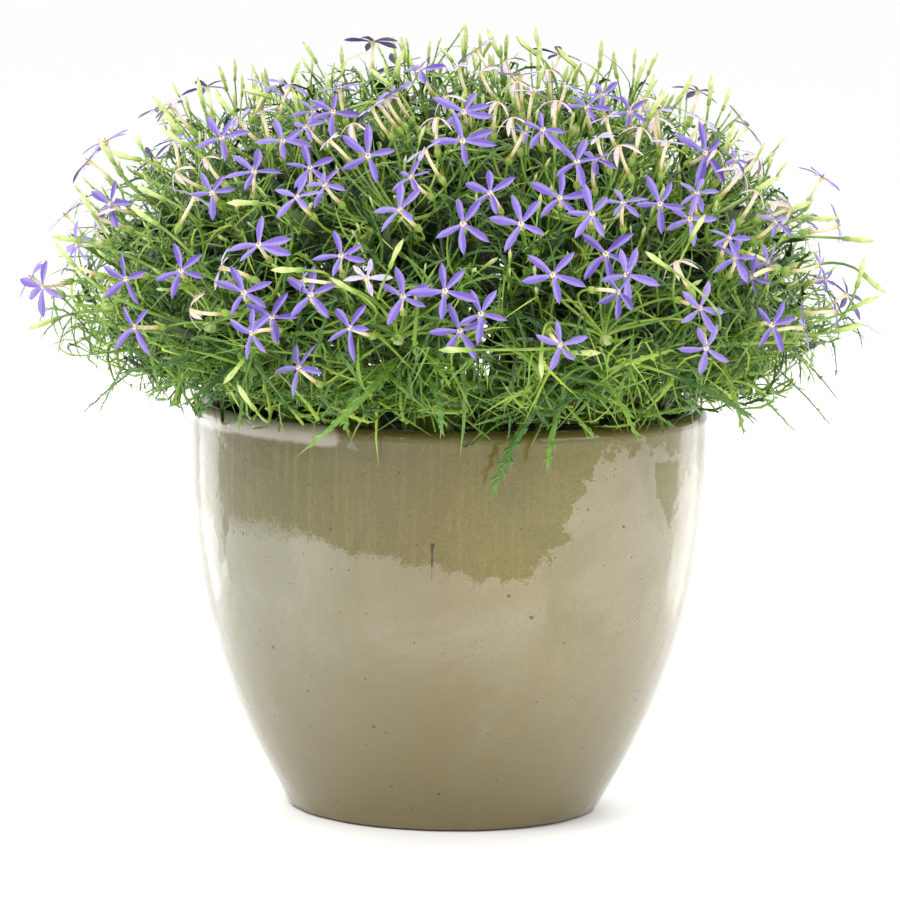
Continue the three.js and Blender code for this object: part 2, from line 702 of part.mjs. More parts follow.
function leafShape(leaf) {
  const curve = new THREE.QuadraticBezierCurve3(leaf.root, leaf.bend, leaf.tip);
  const length = curve.getLength();
  const frame = (along) => {
    const ahead = curve.getTangent(along);
    const aside = new THREE.Vector3().crossVectors(leaf.faceUp, ahead).normalize();
    return { middle: curve.getPoint(along), aside, face: new THREE.Vector3().crossVectors(ahead, aside) };
  };
  const corners = [leaf.root, leaf.tip];
  const edge = (hand) => LEAF_SIDE.map(({ along, side }) => {
    const { middle, aside, face } = frame(along);
    middle.addScaledVector(aside, hand * side * length).addScaledVector(face, side * leaf.fold * length);
    return corners.push(middle) - 1;
  });
  const left = edge(1);
  const right = edge(-1);
  const ridge = (way) => LEAF_RIDGES.map((along) => {
    const { middle, face } = frame(along);
    return corners.push(middle.addScaledVector(face, way * LEAF_THICKNESS / 2)) - 1;
  });
  const face = (side, [near, far]) => [
    [0, near, side[0]], [side[0], near, side[1]], [side[1], near, side[2]], [side[2], near, far],
    [side[2], far, side[3]], [side[3], far, side[4]], [side[4], far, 1],
  ];
  const turned = (triangles) => triangles.map(([a, b, c]) => [a, c, b]);
  const top = ridge(1);
  const under = ridge(-1);
  return meshOf(corners, [
    ...face(left, top), ...turned(face(right, top)), ...turned(face(left, under)), ...face(right, under),
  ]);
}

function leafBalls(leaf) {
  const curve = new THREE.QuadraticBezierCurve3(leaf.root, leaf.bend, leaf.tip);
  const length = curve.getLength();
  const balls = [0.18, 0.27, 0.36, 0.45, 0.54, 0.64, 0.74, 0.86, 0.97].map((along) => (
    ball(curve.getPoint(along), 2.2)));
  for (const { along, side } of LEAF_SIDE) {
    const aside = new THREE.Vector3().crossVectors(leaf.faceUp, curve.getTangent(along)).normalize();
    for (const hand of [-1, 1]) {
      for (const share of [0.55, 0.9]) {
        const at = curve.getPoint(along - 0.1 * (1 - share));
        balls.push(ball(at.addScaledVector(aside, hand * side * share * length), 2.2));
      }
    }
  }
  return balls;
}

// Room between a leaf and the pot
function clearsPot(leaf) {
  return leafBalls(leaf).every(({ at, radius }) => {
    const out = Math.hypot(at.x, at.y);
    const room = radius + 1;
    if (at.z > POT_HEIGHT + room) return true;
    return out > outerRadius(at.z) + room || (out < BODY_RADIUS - WALL - room && at.z > COMPOST_TOP + room);
  });
}

function chanceLeaf(shoot, chance) {
  const share = 0.56 + 0.2 * chance();
  const turn = chance() * 2 * Math.PI;
  const lean = (18 + 50 * chance()) * DEGREE;
  const along = shoot.line.getTangent(share);
  const third = new THREE.Vector3().crossVectors(along, shoot.sideways);
  const outward = shoot.sideways.clone().multiplyScalar(Math.cos(turn));
  outward.addScaledVector(third, Math.sin(turn));
  const radius = shoot.slices.reduce((best, slice) => (
    Math.abs(slice.share - share) < Math.abs(best.share - share) ? slice : best)).radius;
  const root = shoot.line.getPoint(share).addScaledVector(outward, Math.max(radius * 0.7 - 3, 0));
  const way = along.clone().multiplyScalar(Math.cos(lean)).addScaledVector(outward, Math.sin(lean));
  const length = LEAF_LENGTH * (0.8 + 0.35 * chance());
  const bend = root.clone().addScaledVector(way, 0.5 * length).addScaledVector(UP, 0.06 * length);
  const tip = root.clone().addScaledVector(way, length).addScaledVector(UP, -0.14 * length);
  const faceUp = along.clone().addScaledVector(UP, 0.8).addScaledVector(outward, -0.5);
  faceUp.addScaledVector(shoot.sideways, chance() - 0.5).normalize();
  return { root, bend, tip, faceUp, fold: 0.3 * (chance() - 0.5) };
}

// A leaf that hangs over the rim where the picture shows it. It starts in the core of the nearest shoot.
function seenLeaf([x, y, tipX, tipY]) {
  const start = onMound(x, y, 0.98);
  const tip = sightLine(tipX, tipY).at(start.distanceTo(EYE) - 4, new THREE.Vector3());
  const shoot = [...SHOOTS].sort((a, b) => (
    a.line.getPoint(0.7).distanceTo(start) - b.line.getPoint(0.7).distanceTo(start)))[0];
  const root = shoot.line.getPoint(0.68);
  const faceUp = UP.clone().addScaledVector(new THREE.Vector3(start.x, start.y, 0).normalize(), 0.8);
  return { shoot, leaf: { root, bend: start, tip, faceUp: faceUp.normalize(), fold: -0.1 } };
}

// Buds: a ribbed spindle on a thin stalk that starts in the shoot's core

function budParts([x, y, angle], shoot, slide) {
  const tip = onMound(x, y, 1.03);
  tip.addScaledVector(new THREE.Vector3().subVectors(tip, EYE).normalize(), slide);
  const back = pictureWay(angle * DEGREE);
  const base = tip.clone().addScaledVector(back, BUD_LENGTH);
  const widest = tip.clone().lerp(base, 0.55);
  const root = shoot.line.getPoint(0.72);
  return { points: [root, base, widest, tip], radii: [STALK_RADIUS, STALK_RADIUS, BUD_RADIUS, 0] };
}

function placeBud(row, pieces) {
  const tip = onMound(row[0], row[1], 1.03);
  const nearFirst = [...SHOOTS].sort((a, b) => a.seat.distanceTo(tip) - b.seat.distanceTo(tip));
  for (const slide of SLIDES) {
    for (const shoot of nearFirst.slice(0, 3)) {
      const bud = budParts(row, shoot, slide);
      const [root, base, widest, end] = bud.points;
      const out = root.clone().lerp(base, 0.25);
      const balls = [...ballsAlong(out, base, 1.4, 3), ball(widest, BUD_RADIUS), ball(end, 1)];
      const piece = placed(`shoot${shoot.number}`, balls);
      if (clearsCores(piece, root, shoot) && isFree(piece, pieces)) {
        pieces.push(piece);
        shoot.buds.push(bud);
        return true;
      }
    }
  }
  return false;
}

// Clear of the cores come the blooms, then the buds, then the leaves that the picture shows, then the others
function dressShoots() {
  const chance = runOfChance(20);
  const pieces = [];
  SEEN_BLOOMS.forEach((row) => placeBloom(seenBloom(row), pieces));
  for (let i = 0; i < BACK_BLOOMS; i += 1) {
    const bloom = backBloom(i, chance);
    const turnedAway = moundOutward(bloom.throat).dot(forward) > -0.1;
    const alone = SHOOTS.every((shoot) => shoot.blooms.every((other) => (
      other.throat.distanceTo(bloom.throat) > 30)));
    if (turnedAway && alone) placeBloom(bloom, pieces);
  }
  SEEN_BUDS.forEach((row) => placeBud(row, pieces));
  for (const row of SEEN_LEAVES) {
    const { shoot, leaf } = seenLeaf(row);
    const piece = placed(`shoot${shoot.number}`, leafBalls(leaf));
    if (clearsPot(leaf) && clearsCores(piece, leaf.root, shoot) && isFree(piece, pieces)) {
      pieces.push(piece);
      shoot.leaves.push(leaf);
    }
  }
  for (const shoot of SHOOTS) {
    for (let tries = 0; tries < 400 && shoot.leaves.length < LEAVES_PER_SHOOT; tries += 1) {
      const leaf = chanceLeaf(shoot, chance);
      const piece = placed(`shoot${shoot.number}`, leafBalls(leaf));
      if (clearsPot(leaf) && clearsCores(piece, leaf.root, shoot) && isFree(piece, pieces)) {
        pieces.push(piece);
        shoot.leaves.push(leaf);
      }
    }
  }
}

dressShoots();

// The spray's foot: a small bead that sits on the flat end of its shoot
function footBead(shoot) {
  const up = new THREE.Vector3().subVectors(shoot.bead, shoot.seat);
  const levels = [shoot.seat, shoot.bead, shoot.bead.clone().add(up)];
  return rod(levels, [SEAT_RADIUS - 0.5, BEAD_RADIUS, SEAT_RADIUS], BEAD_SIDES, shoot.sideways);
}

const glaze = new THREE.MeshStandardMaterial({ color: 0x9b946c, roughness: 0.18, metalness: 0 });
const soil = new THREE.MeshStandardMaterial({ color: 0x3a2a1e, roughness: 0.95, metalness: 0 });
const leafGreen = new THREE.MeshStandardMaterial({ color: 0x5c7a3f, roughness: 0.6, metalness: 0 });
const violet = new THREE.MeshStandardMaterial({ color: 0x8c78cf, roughness: 0.65, metalness: 0 });

const plant = new THREE.Group();

function addPiece(name, geometry, material) {
  const mesh = new THREE.Mesh(geometry, material);
  mesh.name = name;
  plant.add(mesh);
}

addPiece('pot', geometryOf(solidOf(potShape())), glaze);
addPiece('compost', geometryOf(compostShape(SHOOTS.map((shoot) => shoot.foot))), soil);
for (const shoot of SHOOTS) {
  const label = String(shoot.number + 1).padStart(2, '0');
  const buds = shoot.buds.map(({ points, radii }) => rod(points, radii, 3, UP));
  const green = fused([coreShape(shoot), ...shoot.leaves.map(leafShape), ...buds]);
  addPiece(`shoot_${label}`, geometryOf(green), leafGreen);
  const blooms = shoot.blooms.map((bloom) => bloomShape(bloom, shoot.bead));
  addPiece(`blooms_${label}`, geometryOf(fused([footBead(shoot), ...blooms])), violet);
}

export default plant;
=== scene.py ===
# Potted laurentia: a round glazed planter and, growing out of it, a mound of soft shoots with finely cut leaves,
# pale green buds and violet star blooms. Metres; the origin is the middle of the pot's foot, Z is up.
import json
import math
import bpy
import mathutils
import numpy as np
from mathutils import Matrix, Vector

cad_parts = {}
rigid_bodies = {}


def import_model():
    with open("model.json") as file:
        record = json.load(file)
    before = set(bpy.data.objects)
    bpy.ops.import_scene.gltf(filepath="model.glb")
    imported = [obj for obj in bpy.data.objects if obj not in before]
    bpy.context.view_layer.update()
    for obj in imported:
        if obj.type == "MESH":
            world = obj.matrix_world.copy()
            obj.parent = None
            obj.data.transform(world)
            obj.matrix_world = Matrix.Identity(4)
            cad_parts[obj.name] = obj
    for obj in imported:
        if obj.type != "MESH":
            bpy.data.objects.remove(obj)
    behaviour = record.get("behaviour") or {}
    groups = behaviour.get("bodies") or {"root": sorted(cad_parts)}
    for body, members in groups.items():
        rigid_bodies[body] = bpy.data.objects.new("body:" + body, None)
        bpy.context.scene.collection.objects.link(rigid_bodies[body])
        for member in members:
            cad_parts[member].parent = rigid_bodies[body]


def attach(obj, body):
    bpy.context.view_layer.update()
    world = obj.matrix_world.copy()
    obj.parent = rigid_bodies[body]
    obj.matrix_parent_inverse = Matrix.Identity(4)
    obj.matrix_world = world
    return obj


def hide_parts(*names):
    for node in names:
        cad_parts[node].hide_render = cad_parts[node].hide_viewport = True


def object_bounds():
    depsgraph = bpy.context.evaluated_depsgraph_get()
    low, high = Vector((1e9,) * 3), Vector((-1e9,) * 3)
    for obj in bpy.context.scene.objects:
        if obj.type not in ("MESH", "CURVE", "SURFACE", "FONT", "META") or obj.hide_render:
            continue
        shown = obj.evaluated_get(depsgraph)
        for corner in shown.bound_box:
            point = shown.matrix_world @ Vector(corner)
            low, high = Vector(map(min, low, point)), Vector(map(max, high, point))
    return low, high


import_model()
cad_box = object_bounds()
MM = 0.001


# Studio: the pot stands on a plain pale table in front of an open white room. A bright card on each side of it and
# two soft boxes that light the table behind draw the white bands down the sides of the glaze, and a large soft
# light above and to the left models the leaves.
UP = np.array([0.0, 0.0, 1.0])
EYE = np.array([0.0, -3000.0, 583.0])
EYE_AIM = np.array([0.5, 0.0, 207.0])
EYE_ROLL = math.radians(1.09)
FOCAL_PIXELS = 5210
PICTURE_MIDDLE = (450, 451)


def unit(v):
    v = np.asarray(v, float)
    return v / np.maximum(np.linalg.norm(v, axis=-1, keepdims=True), 1e-12)


FORWARD = unit(EYE_AIM - EYE)
level_right = unit(np.cross(FORWARD, UP))
level_up = np.cross(level_right, FORWARD)
PICTURE_RIGHT = math.cos(EYE_ROLL) * level_right + math.sin(EYE_ROLL) * level_up
PICTURE_UP = math.cos(EYE_ROLL) * level_up - math.sin(EYE_ROLL) * level_right


def linear(code):
    """A colour written as six hex digits, in the linear values that the shader takes."""
    parts = [int(code[i:i + 2], 16) / 255 for i in (1, 3, 5)]
    return tuple(p / 12.92 if p <= 0.04045 else ((p + 0.055) / 1.055) ** 2.4 for p in parts) + (1.0,)


def add(tree, kind, inputs=(), **words):
    """Adds a node. Inputs come in order, by number, or as words with a capital letter; other words are settings.
    A socket is linked, a node is linked by its first output, and anything else is set."""
    node = tree.nodes.new(kind)
    inputs = dict(inputs) if isinstance(inputs, dict) else dict(enumerate(inputs))
    for name, value in words.items():
        if name[0].isupper():
            inputs[name.replace("_", " ")] = value
        else:
            setattr(node, name, value)
    for name, value in inputs.items():
        if isinstance(value, bpy.types.Node):
            value = value.outputs[0]
        if isinstance(value, bpy.types.NodeSocket):
            tree.links.new(value, node.inputs[name])
        else:
            node.inputs[name].default_value = value
    return node


def new_material(name, *carried):
    """An empty material, its tree, the object's coordinates, and what the mesh carries under the further names."""
    material = bpy.data.materials.new(name)
    material.use_nodes = True
    tree = material.node_tree
    tree.nodes.clear()
    told = [add(tree, "ShaderNodeAttribute", attribute_name=label).outputs["Fac"] for label in carried]
    return material, tree, add(tree, "ShaderNodeTexCoord").outputs["Object"], *told


def finish_surface(tree, colour, relief=None, **words):
    """The shader: its colour, its relief as (pattern, strength, metres), and what its other inputs are given."""
    if relief:
        pattern, strength, distance = relief
        words["Normal"] = add(tree, "ShaderNodeBump", Height=pattern, Strength=strength, Distance=distance)
    shader = add(tree, "ShaderNodeBsdfPrincipled", Base_Color=colour, **words)
    add(tree, "ShaderNodeOutputMaterial", Surface=shader)


def mesh_object(name, points, faces, attributes=None):
    """A new object whose mesh has these points, in millimetres, and faces; attributes hold a value a point."""
    mesh = bpy.data.meshes.new(name)
    mesh.from_pydata((np.asarray(points) * MM).tolist(), [], faces)
    for key, values in (attributes or {}).items():
        values = np.asarray(values)
        kind = "FLOAT_VECTOR" if values.ndim == 2 else "INT" if values.dtype.kind == "i" else "FLOAT"
        layer = mesh.attributes.new(key, kind, "POINT")
        layer.data.foreach_set("vector" if values.ndim == 2 else "value", values.ravel())
    mesh.update()
    return bpy.data.objects.new(name, mesh)


SENSOR, LONG_SIDE = 36, 902
camera_data = bpy.data.cameras.new("camera")
camera_data.lens = FOCAL_PIXELS * SENSOR / LONG_SIDE
camera_data.sensor_width = SENSOR
camera_data.clip_end = 200
camera = bpy.data.objects.new("camera", camera_data)
bpy.context.collection.objects.link(camera)
turn = np.column_stack([PICTURE_RIGHT, PICTURE_UP, -FORWARD])
pose = np.eye(4)
pose[:3, :3] = turn
pose[:3, 3] = EYE * MM
camera.matrix_world = mathutils.Matrix(pose.tolist())
bpy.context.scene.camera = camera


def soft_box(name, place, aim, size, watts):
    """A rectangular light at the place, turned to what it lights; metres and watts."""
    light = bpy.data.lights.new(name, "AREA")
    light.shape = "RECTANGLE"
    light.size, light.size_y = size
    light.energy = watts
    box = bpy.data.objects.new(name, light)
    bpy.context.collection.objects.link(box)
    way = mathutils.Vector(aim) - mathutils.Vector(place)
    box.matrix_world = mathutils.Matrix.Translation(place) @ way.to_track_quat("-Z", "Y").to_matrix().to_4x4()


soft_box("key_light", (-1.3, -1.9, 2.2), (0, 0, 0.3), (1.6, 1.6), 54)
soft_box("fill_light", (1.9, -1.3, 1.4), (0, 0, 0.3), (1.4, 1.4), 14)
soft_box("left_card", (-0.445, 0.237, 0.15), (-0.13, -0.07, 0.15), (0.19, 0.3), 0.31)
soft_box("right_card", (0.438, 0.244, 0.15), (0.13, -0.07, 0.15), (0.17, 0.3), 0.19)
soft_box("left_sweep", (-1.0, 1.0, 1.3), (-0.65, 0.6, 0), (1.0, 1.0), 14)
soft_box("right_sweep", (1.0, 1.0, 1.3), (0.65, 0.6, 0), (1.0, 1.0), 11)
soft_box("back_light", (0.3, 1.9, 1.9), (0, 0, 0.35), (1.6, 1.2), 14)

world = bpy.data.worlds.new("white_room")
world.use_nodes = True
background = world.node_tree.nodes["Background"]
background.inputs["Color"].default_value = linear("#ffffff")
background.inputs["Strength"].default_value = 1.02
bpy.context.scene.world = world
bpy.context.scene.view_settings.view_transform = "Standard"

TABLE_REACH = 30000
table_top = mesh_object("table_top", [(TABLE_REACH * x, TABLE_REACH * y, 0)
                                      for x, y in ((-1, -1), (1, -1), (1, 1), (-1, 1))], [(0, 1, 2, 3)])
bpy.context.collection.objects.link(table_top)
table_white, tree, place = new_material("white_table")
finish_surface(tree, linear("#fbfbfb"), Roughness=0.6)
table_top.data.materials.append(table_white)


# Pot: a thick stoneware planter thrown on a wheel, with a rounded lip and a belly that draws in to a flat foot.
# The upper half is darker, with a wavy edge: partly an olive glaze over a milky one, partly a painted reflection of
# the dark foliage above, while the paler lower half holds a painted reflection of the bright table. Iron in the clay
# has burnt through as brown specks and small pits.
POT_HEIGHT = 236
FOOT_RADIUS = 88
BODY_RADIUS = 149.5
SWELL_HEIGHT = 210
SWELL_CURVE = 2.3
WALL = 12
FLOOR = 12
COMPOST_TOP = 218


def outer_radius(height):
    left = np.maximum(0.0, 1 - height / SWELL_HEIGHT)
    return FOOT_RADIUS + (BODY_RADIUS - FOOT_RADIUS) * (1 - left ** SWELL_CURVE)


def pot_profile():
    """Half a section through the pot, from the middle of the foot, up the outside and down the inside."""
    lip = WALL / 2
    rows = [(0, 0), (FOOT_RADIUS - 12, 0), (FOOT_RADIUS - 2.2, 0), (FOOT_RADIUS - 0.9, 0.5)]
    rows += [(outer_radius(z) - 0.6 * max(0, 1 - z / 3) ** 2, z) for z in (1.4, 3, 5, 8)]
    rows += [(outer_radius(z), z) for z in range(13, 226, 6)]
    rows += [(BODY_RADIUS - lip + lip * math.cos(t), POT_HEIGHT - lip + lip * math.sin(t))
             for t in np.linspace(-0.2, math.pi, 12)]
    rows += [(outer_radius(z) - WALL, z) for z in range(224, 24, -12)]
    rows += [(outer_radius(FLOOR) - WALL - 2, FLOOR + 3), (outer_radius(FLOOR) - WALL - 8, FLOOR), (0, FLOOR)]
    return rows


def new_modifier_tree(name, **sockets):
    """A Geometry Nodes tree with these inputs besides the geometry, and what it is given at each of them."""
    tree = bpy.data.node_groups.new(name, "GeometryNodeTree")
    for label, kind in (("Geometry", "Geometry"), *sockets.items()):
        tree.interface.new_socket(label.replace("_", " "), in_out="INPUT", socket_type="NodeSocket" + kind)
    tree.interface.new_socket("Geometry", in_out="OUTPUT", socket_type="NodeSocketGeometry")
    return tree, tree.nodes.new("NodeGroupInput").outputs


def grown(name, base, tree, **values):
    """Runs the tree with these values on the base object and returns the plain mesh object that it makes."""
    bpy.context.collection.objects.link(base)
    modifier = base.modifiers.new("shape", "NODES")
    modifier.node_group = tree
    for socket in tree.interface.items_tree:
        label = socket.name.replace(" ", "_")
        if label in values:
            modifier[socket.identifier] = values[label]
    base.update_tag()
    depsgraph = bpy.context.evaluated_depsgraph_get()
    mesh = bpy.data.meshes.new_from_object(base.evaluated_get(depsgraph))
    mesh.name = name
    bpy.data.objects.remove(base)
    piece = bpy.data.objects.new(name, mesh)
    bpy.context.collection.objects.link(piece)
    return piece


def curve_object(name, lines):
    """A curve object; each line is (points, radii), both in millimetres."""
    curve = bpy.data.curves.new(name, "CURVE")
    curve.dimensions = "3D"
    for points, radii in lines:
        spline = curve.splines.new("POLY")
        spline.points.add(len(points) - 1)
        places = np.column_stack([np.asarray(points) * MM, np.ones(len(points))])
        spline.points.foreach_set("co", places.ravel())
        spline.points.foreach_set("radius", np.asarray(radii, float) * MM)
    return bpy.data.objects.new(name, curve)


turned, given = new_modifier_tree("turned_pot", Steps_around="Int", Waviness="Float", Foot_roll="Float",
                                  Glaze="Material")
wheel = add(turned, "GeometryNodeCurvePrimitiveCircle", Resolution=given["Steps around"], Radius=0.0001)
shell = add(turned, "GeometryNodeCurveToMesh", Curve=wheel, Profile_Curve=given["Geometry"])
shell = add(turned, "GeometryNodeMergeByDistance", Geometry=shell, Distance=0.0002)
place = add(turned, "GeometryNodeInputPosition")
height = add(turned, "ShaderNodeSeparateXYZ", Vector=place).outputs["Z"]
waves = add(turned, "ShaderNodeTexNoise", Vector=place, Scale=14.0, Detail=2.0)
waves = add(turned, "ShaderNodeMath", (waves, 0.5), operation="SUBTRACT")
waves = add(turned, "ShaderNodeMath", (waves, given["Waviness"]), operation="MULTIPLY")
low = add(turned, "ShaderNodeMapRange", Value=height, From_Min=0.002, From_Max=0.011, To_Min=1.0, To_Max=0.0)
roll = add(turned, "ShaderNodeTexNoise", Vector=place, Scale=55.0, Detail=1.0)
roll = add(turned, "ShaderNodeMath", (roll, low), operation="MULTIPLY")
roll = add(turned, "ShaderNodeMath", (roll, given["Foot roll"]), operation="MULTIPLY")
push = add(turned, "ShaderNodeMath", (waves, roll), operation="ADD")
off_table = add(turned, "ShaderNodeMath", (height, 0.001), operation="GREATER_THAN")
push = add(turned, "ShaderNodeMath", (push, off_table), operation="MULTIPLY")
outward = add(turned, "ShaderNodeVectorMath", (place, (1, 1, 0)), operation="MULTIPLY")
outward = add(turned, "ShaderNodeVectorMath", (outward,), operation="NORMALIZE")
offset = add(turned, "ShaderNodeVectorMath", (outward,), Scale=push, operation="SCALE")
shell = add(turned, "GeometryNodeSetPosition", Geometry=shell, Offset=offset)
shell = add(turned, "GeometryNodeSetShadeSmooth", Geometry=shell, Shade_Smooth=True)
shell = add(turned, "GeometryNodeSetMaterial", Geometry=shell, Material=given["Glaze"])
add(turned, "NodeGroupOutput", Geometry=shell)


def colour_steps(tree, factor, *steps):
    """A ramp through the given (position, colour) steps."""
    ramp = add(tree, "ShaderNodeValToRGB", Fac=factor)
    points = ramp.color_ramp.elements
    while len(points) < len(steps):
        points.new(0.5)
    for point, (position, code) in zip(points, steps):
        point.position = position
        point.color = linear(code)
    return ramp


def stained(tree, colour, *stains):
    """Lays stains over the colour. Each is a colour and its share, or else a pattern with the value where the
    stain starts, the value where it is full, and its most, which is 1 where it isn't told."""
    for code, share, *limits in stains:
        if limits:
            words = dict(zip(("From_Min", "From_Max", "To_Max"), limits))
            share = add(tree, "ShaderNodeMapRange", Value=share, **words)
        colour = add(tree, "ShaderNodeMix", {0: share, 6: colour, 7: linear(code)}, data_type="RGBA").outputs[2]
    return colour


def shifted(tree, value, pattern, amount):
    """The value, moved up and down by the pattern, by the amount from end to end."""
    pattern = add(tree, "ShaderNodeMath", (pattern, 0.5), operation="SUBTRACT")
    return add(tree, "ShaderNodeMath", (pattern, amount, value), operation="MULTIPLY_ADD")


def where(tree, *steps):
    """1 where each value has gone from its first number to its second, 0 where one hasn't set out."""
    share = 1.0
    for value, none, full in steps:
        step = add(tree, "ShaderNodeMapRange", Value=value, From_Min=none, From_Max=full)
        share = add(tree, "ShaderNodeMath", (share, step), operation="MULTIPLY")
    return share


# The glaze: glass over clay. Grain as fine as sand, clouds and the frayed lower edge of the darker upper zone give
# the eye its depth; the specks and pits give its scale. The darker upper zone is olive glaze with a painted
# reflection of the dark foliage in it, and the paler lower zone is milky glaze with a painted reflection of the
# bright table. Both are greener at the left and warmer at the right, and the lower one darkens to brown towards the
# foot. The patterns are about as large as a thousand over their scale, in millimetres: grain 1.2, clouds 77, fray 24,
# islands 10, smears 17, ripples
# 13, and runs 3 wide.
glaze, tree, place = new_material("olive_over_milky_glaze")
x_axis, y_axis, z_axis = add(tree, "ShaderNodeSeparateXYZ", Vector=place).outputs
grain, clouds, fray, islands, smears, ripples = [
    add(tree, "ShaderNodeTexNoise", Vector=place, Scale=scale, Detail=detail, Roughness=rough, Distortion=bent)
    for scale, detail, rough, bent in ((850.0, 3.0, 0.7, 0.0), (13.0, 6.0, 0.6, 0.5), (42.0, 8.0, 0.68, 0.0),
                                       (105.0, 2.0, 0.5, 0.0), (60.0, 4.0, 0.5, 0.0), (75.0, 2.0, 0.5, 0.0))]
stretched = add(tree, "ShaderNodeMapping", Vector=place, Scale=(1.0, 1.0, 0.06))
runs = add(tree, "ShaderNodeTexNoise", Vector=stretched, Scale=330.0, Detail=3.0)
across = add(tree, "ShaderNodeMapRange", Value=x_axis, From_Min=-0.15, From_Max=0.15)
milky = colour_steps(tree, across, (0.0, "#7b7a66"), (0.25, "#827e67"), (0.5, "#817657"), (0.72, "#928969"),
                     (1.0, "#958e76"))
# Lighter and darker clouds, a darkening towards the foot and grain lie over the lower zone.
milky = stained(tree, milky, ("#a09a84", clouds, 0.52, 0.75, 0.5), ("#756c4a", clouds, 0.48, 0.3, 0.55),
                ("#655a33", z_axis, 0.135, 0.012, 0.92), ("#65624a", grain, 0.52, 0.64, 0.36))
olive = colour_steps(tree, across, (0.0, "#55512a"), (0.2, "#5c5729"), (0.5, "#6a602b"), (0.76, "#777037"),
                     (1.0, "#77703f"))
olive = stained(tree, olive, ("#8a8150", runs, 0.5, 0.68, 0.22), ("#574e22", clouds, 0.5, 0.3, 0.4),
                ("#4b421c", grain, 0.52, 0.62, 0.4), ("#988d5c", grain, 0.46, 0.36, 0.16))

# Lower edge of the darker upper zone, olive glaze with a painted reflection of the foliage: its height from the left
# side of the pot to the right. It is blurred at the left, grainy in the middle, and leaves islands of the paler zone
# free at the right.
EDGE_WIDTH, EDGE_HEIGHT = 300, 250
edge = add(tree, "ShaderNodeFloatCurve", Value=across)
edge_line = edge.mapping.curves[0].points
for x, z in ((-132, 176), (-100, 175), (-65, 170), (-37, 165), (-9, 159), (13, 153), (30, 153), (46, 161), (62, 175),
             (71, 194), (80, 212), (92, 221), (120, 219)):
    edge_line.new(x / EDGE_WIDTH + 0.5, z / EDGE_HEIGHT)
edge_line[0].location = (0.0, 182 / EDGE_HEIGHT)
edge_line[-1].location = (1.0, 196 / EDGE_HEIGHT)
edge.mapping.update()
edge = add(tree, "ShaderNodeMath", (edge, EDGE_HEIGHT * MM), operation="MULTIPLY")
island_height = add(tree, "ShaderNodeMapRange", Value=x_axis, From_Min=0.01, From_Max=0.06, To_Min=0.012,
                    To_Max=0.055)
edge = shifted(tree, shifted(tree, edge, fray, 0.024), islands, island_height)
above = add(tree, "ShaderNodeMath", (z_axis, edge), operation="SUBTRACT")
blur = add(tree, "ShaderNodeMapRange", Value=x_axis, From_Min=-0.12, From_Max=-0.03, To_Min=0.0055, To_Max=0.0012)
above = add(tree, "ShaderNodeMath", (shifted(tree, above, grain, 0.016), blur), operation="DIVIDE")
coat_and_reflection = where(tree, (above, -1.0, 1.0))


def downward_tongue(x, top, bottom, width):
    """Share of a tongue down the front, wide at the top and pointed at the bottom, in metres, for glaze and painted
    reflection.
    """
    height = shifted(tree, z_axis, islands, width * 1.5)
    narrowing = add(tree, "ShaderNodeMapRange", Value=height, From_Min=bottom, From_Max=top, To_Max=width)
    off = add(tree, "ShaderNodeMath", (x_axis, x), operation="SUBTRACT")
    off = add(tree, "ShaderNodeMath", (off,), operation="ABSOLUTE")
    off = add(tree, "ShaderNodeMath", (shifted(tree, off, fray, width * 2.5), narrowing), operation="SUBTRACT")
    return where(tree, (off, 0.0, -0.0005), (height, top + 0.001, top), (height, bottom, bottom + 0.002),
                 (y_axis, 0.0, -0.001))


# Two tongues carry the darker zone and its painted reflection of the foliage further down near the sides.
for run in ((-0.1285, 0.182, 0.143, 0.006), (0.125, 0.214, 0.172, 0.011)):
    coat_and_reflection = add(tree, "ShaderNodeMath", (coat_and_reflection, downward_tongue(*run)), operation="MAXIMUM")
body = add(tree, "ShaderNodeMix", {0: coat_and_reflection, 6: milky, 7: olive}, data_type="RGBA").outputs[2]
body = stained(tree, body, ("#2e1f10", downward_tongue(-0.0083, 0.1735, 0.150, 0.0016)))

# Iron specks of ragged outline, 1 to 3 mm across, a few large ones and many small ones
ragged = add(tree, "ShaderNodeTexNoise", Vector=place, Scale=520.0, Detail=2.0).outputs["Color"]
ragged = add(tree, "ShaderNodeVectorMath", (ragged,), Scale=0.0022, operation="SCALE")
ragged = add(tree, "ShaderNodeVectorMath", (place, ragged), operation="ADD")
specks = []
for scale, size, rarity in ((34.0, 0.048, 0.62), (80.0, 0.062, 0.74), (190.0, 0.09, 0.78)):
    cells = add(tree, "ShaderNodeTexVoronoi", Vector=ragged, Scale=scale)
    chosen = add(tree, "ShaderNodeSeparateColor", Color=cells.outputs["Color"])
    chosen = add(tree, "ShaderNodeMath", (chosen, rarity), operation="GREATER_THAN")
    near = where(tree, (cells.outputs["Distance"], size * 1.4, size * 0.7))
    specks.append(add(tree, "ShaderNodeMath", (near, chosen), operation="MULTIPLY"))
    body = stained(tree, body, ("#3a2a17", specks[-1]))

